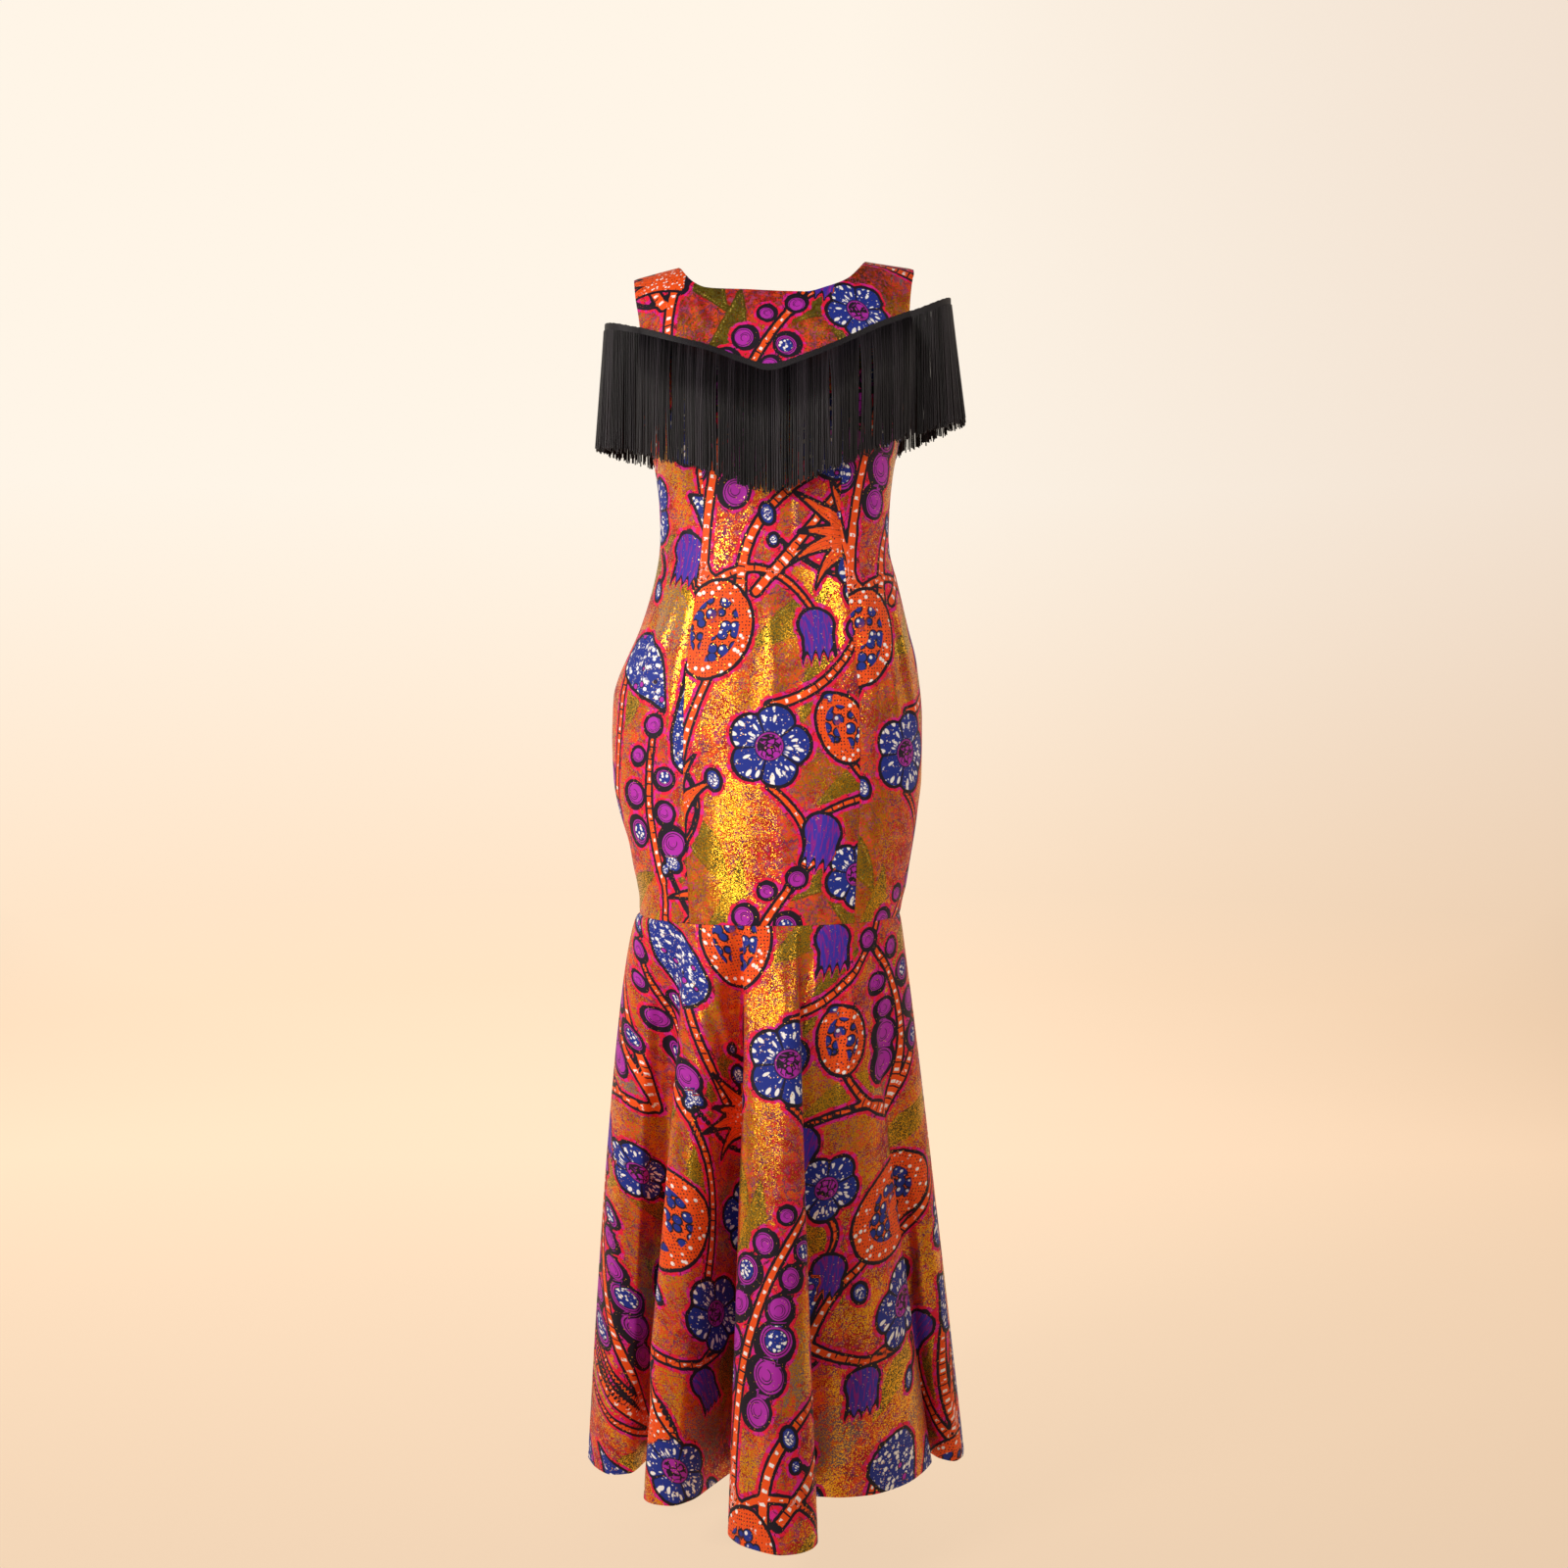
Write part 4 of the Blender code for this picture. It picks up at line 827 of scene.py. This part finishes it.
# Short pulls below the knee seam and slack along the folds, in front and behind: the two ends (mm across and
# height in m), half width and height in mm.
FLARE_PULLS = {
    -1: [
        (-130, -0.760, -150, -0.900, 7, 2.6), (-96, -0.762, -104, -0.960, 9, 2.9),
        (-40, -0.760, -34, -0.900, 7, 1.9), (8, -0.765, 14, -1.050, 13, 2.6),
        (52, -0.760, 60, -0.920, 8, 2.2), (100, -0.764, 118, -1.000, 10, 3.2),
        (136, -0.762, 164, -0.940, 8, 2.6), (-60, -1.000, -120, -1.300, 16, 3.2),
        (150, -1.050, 220, -1.360, 18, 3.5), (0, -1.100, -10, -1.390, 14, 2.6),
        (300, -1.080, 380, -1.380, 16, 3.2), (-300, -1.050, -380, -1.380, 16, 3.2),
    ],
    1: [
        (-130, -0.760, -152, -0.930, 8, 2.7), (-84, -0.762, -92, -0.940, 8, 2.4),
        (-28, -0.760, -30, -0.960, 9, 2.4), (34, -0.762, 44, -0.930, 8, 2.2),
        (88, -0.760, 104, -0.980, 9, 2.9), (134, -0.762, 158, -0.950, 8, 2.6),
        (-160, -1.050, -220, -1.360, 17, 3.5), (180, -1.040, 240, -1.370, 17, 3.4),
        (20, -1.100, 30, -1.390, 15, 2.6),
    ],
}


def flare(name, face, folds, shift):
    """One piece of the flare, from the body's line at the knee seam to its folded hem."""
    order = np.arange(len(folds))
    table = np.column_stack([order, np.array(folds, float)])
    fine = np.linspace(0, len(folds) - 1, 3000)
    hem = np.stack([smooth(table, 2, fine), smooth(table, 3, fine)], axis=1) / 1000
    hem_long = length_along(hem)
    u = np.interp(close_at_ends(FLARE_COLUMNS, 0.10) * hem_long[-1], hem_long, fine)
    angle = np.radians(smooth(table, 1, u))
    knee = body(face, (angle if face < 0 else np.pi - angle) / (np.pi / 2), np.full(FLARE_COLUMNS, KNEE_Z))
    foot = np.stack([smooth(table, 2, u), smooth(table, 3, u)], axis=1) / 1000
    t = close_at_ends(FLARE_ROWS, 0.30)
    spread = t[:, None] ** smooth(table, 4, u)[None]
    grid = np.zeros((FLARE_ROWS, FLARE_COLUMNS, 3))
    grid[..., :2] = knee[None, :, :2] + (foot - knee[:, :2])[None] * spread[..., None]
    top = KNEE_Z - SEAM_GAP / 2
    grid[..., 2] = top + (HEM_Z - top) * t[:, None]
    tangent = np.gradient(grid, axis=1)[..., :2]
    out = np.zeros_like(grid)
    out[..., 0], out[..., 1] = tangent[..., 1], -tangent[..., 0]
    out = unit(out)
    out[:, [0, -1]] = [[-1, 0, 0], [1, 0, 0]] if face < 0 else [[1, 0, 0], [-1, 0, 0]]
    across = length_along(grid[..., :2].swapaxes(0, 1)).T
    across = (across - across[:, [np.argmin(np.abs(knee[:, 0]))]]) * 1000
    down = length_along(grid)
    column = np.arange(FLARE_COLUMNS)
    ends = np.clip(np.minimum(column, column[::-1]) / 12, 0, 1)
    grid = grid + out * (creases(across, grid[..., 2], FLARE_PULLS[face]) * ends)[..., None]
    above_hem = (grid[..., 2] - HEM_Z) * 1000
    grid = grid - out * (0.0006 * np.exp(-(((above_hem - HEM_STITCH) / 1.6) ** 2)))[..., None]
    grid = rolled_edges(grid, out, ("first", "last", "foot"))
    grid[:, [0, -1], 1] = face * SEAM_GAP / 2
    piece = cloth_shell(name + "_cloth", grid, out, (across * -face, -down * 1000), shift, wax_print)
    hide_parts(name)
    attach(piece, "root")
    return piece


piece = flare("flare_front", -1, FRONT_FOLDS, (180, 590))
piece = flare("flare_back", 1, BACK_FOLDS, (60, 500))


# Neck facings: plain black cotton, sewn inside the neckline and the inner half of the straps, turned and
# pressed. They show at both ends of the neckline and inside the back neck. Threads are drawn 0.35 mm apart.
FACING_DEEP, FACING_IN = 0.042, 0.0019  # from the neckline, and inside the dress's outer face
FACING_ROWS = 16
FACING_HALF = 180  # mm across for each half, near enough for the weave
facing_cotton, tree = start_material("facing_cotton_black_plain_weave")
cloth = add("Attribute", out=1, attribute_name="cloth")
threads = add("TexWave", cloth, 0.9, ("Distortion", 0.6), out=1)
black = add("MixRGB", add("TexNoise", cloth, None, 0.4, 3.0), linear("161416"), linear("262224"))
surface = add("BsdfPrincipled", black, ("Roughness", 0.85), ("Specular IOR Level", 0.25),
              ("Sheen Weight", 0.25), ("Normal", add("Bump", 0.3, 0.0003, None, threads)))
add("OutputMaterial", surface)
for name, face in (("neck_facing_front", -1), ("neck_facing_back", 1)):
    right_k, left_k = -neck_k(face, -1), neck_k(face, 1)
    right_strap = right_k - (1 + right_k) * 0.5 * np.linspace(1, 0, 6)[:-1]
    left_strap = left_k + (1 - left_k) * 0.5 * np.linspace(0, 1, 6)[1:]
    u = np.concatenate([right_strap, np.linspace(right_k, left_k, 60), left_strap])
    heights = np.zeros((FACING_ROWS, len(u)))
    for i, (column, end) in enumerate(zip(u, top_of(face, u))):
        fine, up = from_yoke(face, column, end)
        deep = min(FACING_DEEP, 0.8 * up[-1])
        heights[:, i] = np.interp(np.linspace(up[-1] - deep, up[-1], FACING_ROWS), up, fine)
    k = np.repeat(u[None], FACING_ROWS, axis=0)
    out = outward(face, k, heights)
    grid = body(face, k, heights) - out * FACING_IN
    on_seam = (u >= left_k - 1e-6) | (u <= right_k + 1e-6)
    grid[-1, on_seam, 1] = face * SEAM_GAP / 2
    place = (k * FACING_HALF, (heights - YOKE_Z) * 1000)
    piece = cloth_shell(name + "_cloth", grid, out, place, (0, 0), facing_cotton)
    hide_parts(name)
    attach(piece, "root")


# The fringe trim: a narrow black knitted tape sewn once round the shoulders, a V across the chest, with fine
# rayon yarns that hang from its lower edge. It stands away from the dress beside each armhole.
TRIM_TALL, TRIM_CLEAR, STRAND_LONG = 0.009, 0.0016, 0.138
STRAND_BEND, STRAND_CLEAR = 0.34, 0.0030
TRIM_FRONT = [
    (-0.1500, -0.0855), (-0.1130, -0.0985), (-0.0700, -0.1125), (-0.0300, -0.1275), (-0.0040, -0.1345),
    (0.0380, -0.1220), (0.0760, -0.1060), (0.1150, -0.0850), (0.1560, -0.0660),
]
TRIM_BACK = [(-0.1500, -0.0860), (-0.0750, -0.1080), (0.0, -0.1160), (0.0750, -0.1020), (0.1560, -0.0700)]
TRIM_ENDS = (-0.150, 0.156)  # X of both ends of those two stretches
TRIM_SIDE = {-1: (-0.1935, -0.0740), 1: (0.2065, -0.0430)}  # X and height farthest out beside each armhole
TRIM_SPLAY = {-1: 0.009, 1: 0.016}  # how far the strands there swing out by their tips


def cloth_depth(face, x, z):
    """How far in front of or behind the side seams the dress is at X and a height."""
    if abs(x) >= smooth(BODY, 1 if x < 0 else 2, np.array(z)):
        return 0.0
    line = body(face, np.linspace(0, 1, 60) * (1 if x >= 0 else -1), np.full(60, z))
    return float(np.interp(abs(x), np.abs(line[:, 0]), np.abs(line[:, 1])))


def trim_path(count):
    """Points once round the tape's top edge with the way out from the body at each, evenly spaced."""
    loop = []
    for x in np.linspace(*TRIM_ENDS, 90):
        z = float(smooth(TRIM_FRONT, 1, np.array(x)))
        loop.append((x, -cloth_depth(-1, x, z) - TRIM_CLEAR, z, 0.0, -1.0))
    for side in (1, -1):
        far_x, far_z = TRIM_SIDE[side]
        start_x = TRIM_ENDS[1] if side > 0 else TRIM_ENDS[0]
        front_z, back_z = (float(smooth(t, 1, np.array(start_x))) for t in (TRIM_FRONT, TRIM_BACK))
        front_y = cloth_depth(-1, start_x, front_z) + TRIM_CLEAR
        back_y = cloth_depth(1, start_x, back_z) + TRIM_CLEAR
        for turn in np.radians(np.linspace(-88, 88, 60)) * side:
            deep, edge_z = (front_y, front_z) if turn < 0 else (back_y, back_z)
            loop.append((start_x + (far_x - start_x) * np.cos(turn) ** 0.8, deep * np.sin(turn),
                         edge_z + (far_z - edge_z) * np.cos(turn), side * np.cos(turn), np.sin(turn)))
        if side > 0:
            for x in np.linspace(*TRIM_ENDS[::-1], 90):
                z = float(smooth(TRIM_BACK, 1, np.array(x)))
                loop.append((x, cloth_depth(1, x, z) + TRIM_CLEAR, z, 0.0, 1.0))
    loop = np.array(loop + loop[:1])
    along = length_along(loop[:, :3])
    even = np.linspace(0, along[-1], count + 1)[:-1]
    path = np.stack([np.interp(even, along, loop[:, i]) for i in range(5)], axis=1)
    path[:, 3:] /= np.linalg.norm(path[:, 3:], axis=1, keepdims=True)
    return path


def held_off(x, y, z, ox, oy):
    """How far the cloth holds a strand out at its bend and at its tip."""
    face = -1 if y < 0 else 1
    steps = np.linspace(0.04, 1, 13)
    need = np.zeros(13)
    for i, step in enumerate(steps):
        depth = cloth_depth(face, x + ox * 0.004, z - STRAND_LONG * step)
        need[i] = max(0.0, (depth + STRAND_CLEAR - abs(y)) / max(abs(oy), 0.3)) if depth > 0 else 0.0
    above = steps <= STRAND_BEND
    first = max(0.0, (need[above] * STRAND_BEND / steps[above]).max())
    last = first + (need[~above] - first) * (1 - STRAND_BEND) / (steps[~above] - STRAND_BEND)
    return first, max(first, last.max())


ROOTS = 360  # places round the trim at which its path and its yarns' hang are worked out


def around(values, at):
    """Reads values kept at the roots at any place round the trim."""
    return np.interp(at, np.arange(ROOTS + 1), np.append(values, values[0]))


path = trim_path(ROOTS)
tape_out = np.zeros(ROOTS)
for i, (x, y, z, ox, oy) in enumerate(path):
    if abs(ox) < 0.05:
        tape_out[i] = max(0.0, cloth_depth(-1 if y < 0 else 1, x, z - TRIM_TALL) + TRIM_CLEAR - abs(y))
off = np.array([held_off(x + ox * drop, y + oy * drop, z - TRIM_TALL, ox, oy)
                for (x, y, z, ox, oy), drop in zip(path, tape_out)])
for _ in range(3):
    off = np.maximum(off, (np.roll(off, 1, axis=0) + off + np.roll(off, -1, axis=0)) / 3)

# The tape: about 1.01 m round, 9 mm tall and 1.4 mm thick, with a rib about every 2.1 mm.
TAPE = 0.0014
RIBS = 1070 / 2.2  # in all, once round
tape_cols, tape_rows = 1080, 7
s = np.arange(tape_cols) * ROOTS / tape_cols
base = np.stack([around(path[:, i], s) for i in range(5)], axis=1)
base[:, 3:] /= np.linalg.norm(base[:, 3:], axis=1, keepdims=True)
drop = around(tape_out, s)
down = np.linspace(0, 1, tape_rows)[:, None]
rib = 0.00022 * np.abs(np.sin(s / ROOTS * RIBS * np.pi))[None]
rib = rib * np.sin(np.pi * np.clip(down, 0.08, 0.92))
edge_wave = 0.00025 * np.sin(s * 1.9) + 0.0002 * np.sin(s * 4.7 + 1)
tape_layers = []
for thick in (TAPE, 0.0):
    far = drop[None] * down + thick + (rib if thick else 0 * rib)
    low = base[None, :, 2] - down * TRIM_TALL + edge_wave[None] * (1 - down)
    x, y = (base[None, :, i] + base[None, :, i + 3] * far for i in (0, 1))
    tape_layers.append(np.stack([x, y, low], axis=-1))
points = np.concatenate([layer.reshape(-1, 3) for layer in tape_layers])
faces, count = [], tape_rows * tape_cols
foot = (tape_rows - 1) * tape_cols
for c in range(tape_cols):
    n = (c + 1) % tape_cols
    for r in range(0, foot, tape_cols):
        a, b = r + c, r + n
        faces.append((a, a + tape_cols, b + tape_cols, b))
        faces.append((a + count, b + count, b + tape_cols + count, a + tape_cols + count))
    faces += [(c, n, n + count, c + count), (foot + c, foot + c + count, foot + n + count, foot + n)]

rayon, tree = start_material("rayon_yarn_black_satin_twisted")
yarn = add("Attribute", out=2, attribute_name="yarn")
shade = add("MixRGB", yarn, linear("060508"), linear("38333A"))
surface = add("BsdfPrincipled", shade, ("Roughness", 0.48), ("Specular IOR Level", 0.25))
add("OutputMaterial", surface)

tape_knit, tree = start_material("rayon_tape_black_warp_knit")
loops = add("TexVoronoi", add("TexCoord", out=3), None, 900.0)  # knit loops 1.1 mm wide
shade = add("MixRGB", loops, linear("0E0C10"), linear("232026"))
surface = add("BsdfPrincipled", shade, ("Roughness", 0.6), ("Specular IOR Level", 0.3),
              ("Normal", add("Bump", 0.5, 0.0004, None, loops)))
add("OutputMaterial", surface)
tape = new_piece("fringe_tape", points, faces, tape_knit, angle=40)
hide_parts("fringe_trim")
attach(tape, "root")

# Each yarn is a chained cord nearly 2 mm thick; they hang in two layers and lean together in locks.
rng = np.random.default_rng(11)
YARNS, RINGS, SIDES = 1060, 8, 5
YARN_RADII = (0.00082, 0.00096)
YARN_OUT, LAYER_APART, YARN_UP = 0.0005, 0.0014, 0.0015  # YARN_UP is from the tape's lower edge to its start
LOCK = 3  # roots whose yarns lean alike
lock = np.arange(ROOTS) // LOCK
lean, lock_tint = rng.uniform(-1, 1, ROOTS)[lock], rng.uniform(0, 1, ROOTS)[lock]
# Where the yarns in front part a little: X, and how far they move to each side.
PARTINGS = [(-0.112, 0.0016), (0.064, 0.0018), (0.098, 0.0022), (0.112, 0.0016), (-0.060, 0.0009),
            (0.020, 0.0008)]
rows, shades, faces = [], [], []
t = np.linspace(0, 1, RINGS)
for n in range(YARNS):
    at = (n + rng.uniform(-0.3, 0.3)) * ROOTS / YARNS % ROOTS
    x, y, z, ox, oy = (float(around(path[:, i], at)) for i in range(5))
    size = math.hypot(ox, oy)
    ox, oy = ox / size, oy / size
    first, last, dropped = (float(around(v, at)) for v in (off[:, 0], off[:, 1], tape_out))
    layer = n % 2
    long = STRAND_LONG * (1 + rng.uniform(-0.055, 0.022) * rng.uniform(0.2, 1) - 0.012 * layer)
    side = 1 if x > 0 else -1
    splay = TRIM_SPLAY[side] * abs(ox) ** 1.5 + rng.uniform(0, 0.0012)
    hang = np.interp(t, [0, STRAND_BEND, 1], [0, max(first, splay * STRAND_BEND), max(last, splay)])
    away = dropped + YARN_OUT + LAYER_APART * layer + hang + rng.uniform(-0.0002, 0.0005) * t
    sway = (float(around(lean, at)) * 0.0023 + rng.uniform(-0.0007, 0.0007)) * t**1.3
    sway = sway + rng.uniform(-0.0004, 0.0004) * np.sin(np.pi * t * rng.uniform(1, 2.5))
    if oy < -0.5:
        for gap_x, wide in PARTINGS:
            parted = math.copysign(wide, x - gap_x) * math.exp(-(((x - gap_x) / 0.006) ** 2))
            sway = sway + parted * np.sin(np.pi * t**0.8)
    heights = z - TRIM_TALL + YARN_UP - long * t
    line = np.stack([x + ox * away - oy * sway, y + oy * away + ox * sway, heights], axis=1)
    spin = rng.uniform(0, 2 * np.pi)
    thick = rng.uniform(*YARN_RADII) * (1 - 0.12 * t)
    for corner in range(SIDES):
        a = spin + corner * 2 * np.pi / SIDES
        rows.append(line + np.stack([np.cos(a) * thick, np.sin(a) * thick, 0 * thick], axis=1))
    tint = 0.45 * float(around(lock_tint, at)) ** 2.4 + 0.55 * rng.uniform(0, 1) ** 2
    shades += [tint] * (SIDES * RINGS)
    b = n * SIDES * RINGS
    for corner in range(SIDES):
        c, d = b + corner * RINGS, b + (corner + 1) % SIDES * RINGS
        faces += [(c + r, d + r, d + r + 1, c + r + 1)[::-1] for r in range(RINGS - 1)]
    faces.append(tuple(range(b, b + SIDES * RINGS, RINGS)))
    faces.append(tuple(range(b + RINGS - 1, b + SIDES * RINGS, RINGS))[::-1])
yarns = new_piece("fringe_yarns", np.concatenate(rows), faces, rayon, [("yarn", shades)], 80)
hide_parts("fringe_trim")
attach(yarns, "root")


# The room: a floor that sweeps up into a warm cream backdrop of paper, lit by soft light from five boxes. The
# paper also glows with painted light, though it is no lamp: brighter behind the dress and dimmer in front of
# it, warmer and darker low down, and with painted shade that darkens it towards +X.
ROOM_RADIUS, ROOM_TALL, FLOOR_Z, SWEEP = 3.3, 4.6, -1.475, 1.1
paper, tree = start_material("backdrop_paper_cream_painted_glow")
spot = add("SeparateXYZ", add("TexCoord", out=3), out=slice(None))
# Painted shade: the paper's colour darkens towards +X, as if less light reached that side.
painted_shade_by_x = add("MapRange", spot[0], 0.2, 2.4, 0.0, 1.0)
low = add("MixRGB", painted_shade_by_x, linear("FFE2C2"), linear("E6C6A6"))
high = add("MixRGB", painted_shade_by_x, linear("FFF5E7"), linear("EFDDCC"))
cream = add("MixRGB", add("MapRange", spot[2], -1.3, 0.0, 0.0, 1.0), low, high)
# Painted light: the floor is a dark paper colour under a glow that is dim in front of the dress and bright
# behind it.
near_glow = add("MapRange", spot[1], -1.0, -0.2, 0.24, 0.80)
glow = add("Math", near_glow, add("MapRange", spot[1], -0.2, 1.6, 0.0, 0.20), operation="ADD")
floor = add("BsdfPrincipled", linear("5A4C40"), ("Roughness", 0.9), ("Specular IOR Level", 0.1),
            ("Emission Color", cream), ("Emission Strength", glow))
# Painted light: the wall is all glow, brighter the farther back it stands.
wall = add("Emission", cream, add("MapRange", spot[1], -0.5, 2.4, 0.20, 1.0))
add("OutputMaterial", add("MixShader", add("MapRange", spot[2], -1.47, -1.1, 0.0, 1.0), floor, wall))
# It is a drum with its lid off, rounded where its wall meets its floor.
bpy.ops.mesh.primitive_cylinder_add(vertices=96, radius=ROOM_RADIUS, depth=ROOM_TALL,
                                    location=(0, 0, FLOOR_Z + ROOM_TALL / 2))
backdrop = bpy.context.active_object
backdrop.name = "backdrop"
bpy.ops.object.transform_apply(location=True)
bpy.ops.object.mode_set(mode="EDIT")
bpy.ops.mesh.select_mode(type="FACE")
bpy.ops.mesh.select_all(action="DESELECT")
bpy.ops.object.mode_set(mode="OBJECT")
for face in backdrop.data.polygons:
    face.select = face.center.z > 3.0
bpy.ops.object.mode_set(mode="EDIT")
bpy.ops.mesh.delete(type="FACE")
bpy.ops.mesh.select_mode(type="EDGE")
bpy.ops.mesh.select_all(action="DESELECT")
bpy.ops.object.mode_set(mode="OBJECT")
for edge in backdrop.data.edges:
    edge.select = all(backdrop.data.vertices[v].co.z < -1.4 for v in edge.vertices)
bpy.ops.object.mode_set(mode="EDIT")
bpy.ops.mesh.bevel(offset=SWEEP, segments=9)
bpy.ops.mesh.select_all(action="SELECT")
bpy.ops.mesh.flip_normals()
bpy.ops.object.mode_set(mode="OBJECT")
bpy.ops.object.shade_smooth_by_angle(angle=math.radians(40))
backdrop.data.materials.append(paper)

world = bpy.context.scene.world or bpy.data.worlds.new("studio")
bpy.context.scene.world = world
world.use_nodes = True
world.node_tree.nodes["Background"].inputs["Color"].default_value = linear("FFF4E6")
world.node_tree.nodes["Background"].inputs["Strength"].default_value = 0.01
# Each light's name, place, height that it is aimed at, size in m, power in W, spread in degrees and colour.
for name, place, aim, size, power, spread, colour in (
    ("key_box", (-1.60, -1.42, 0.12), -0.5, 0.5, 35, 180, "FFF8F0"),
    ("low_box", (-0.85, -2.1, -0.75), -0.64, 0.5, 0.26, 24, "FFF8F0"),
    ("fill_box", (1.3, -2.3, 0.7), -0.30, 0.8, 2.0, 44, "FFF6EC"),
    ("edge_box_right", (-2.4, 0.1, -0.2), -0.5, 1.0, 3, 180, "FFF6EC"),
    ("edge_box_left", (2.3, 0.1, 0.35), -0.5, 0.9, 5, 180, "FFF6EC"),
):
    bpy.ops.object.light_add(type="AREA", location=place)
    lamp = bpy.context.active_object
    lamp.name = name
    lamp.data.size, lamp.data.energy, lamp.data.color = size, power, linear(colour)[:3]
    lamp.data.spread = math.radians(spread)
    lamp.rotation_euler = (Vector((0.0, 0.0, aim)) - Vector(place)).to_track_quat("-Z", "Y").to_euler()

# The camera stands 2.2 m in front, between the waist's height and the hips', and looks down by 1 degree.
bpy.ops.object.camera_add(location=(0.0137, -2.2225, -0.4558), rotation=(math.radians(90 - 1.086), 0, 0))
camera = bpy.context.active_object
camera.data.sensor_width, camera.data.lens, camera.data.shift_y = 36, 43.62, -0.06
bpy.context.scene.camera = camera
bpy.context.scene.view_settings.view_transform = "Standard"  # shows the print's hex colours as they are
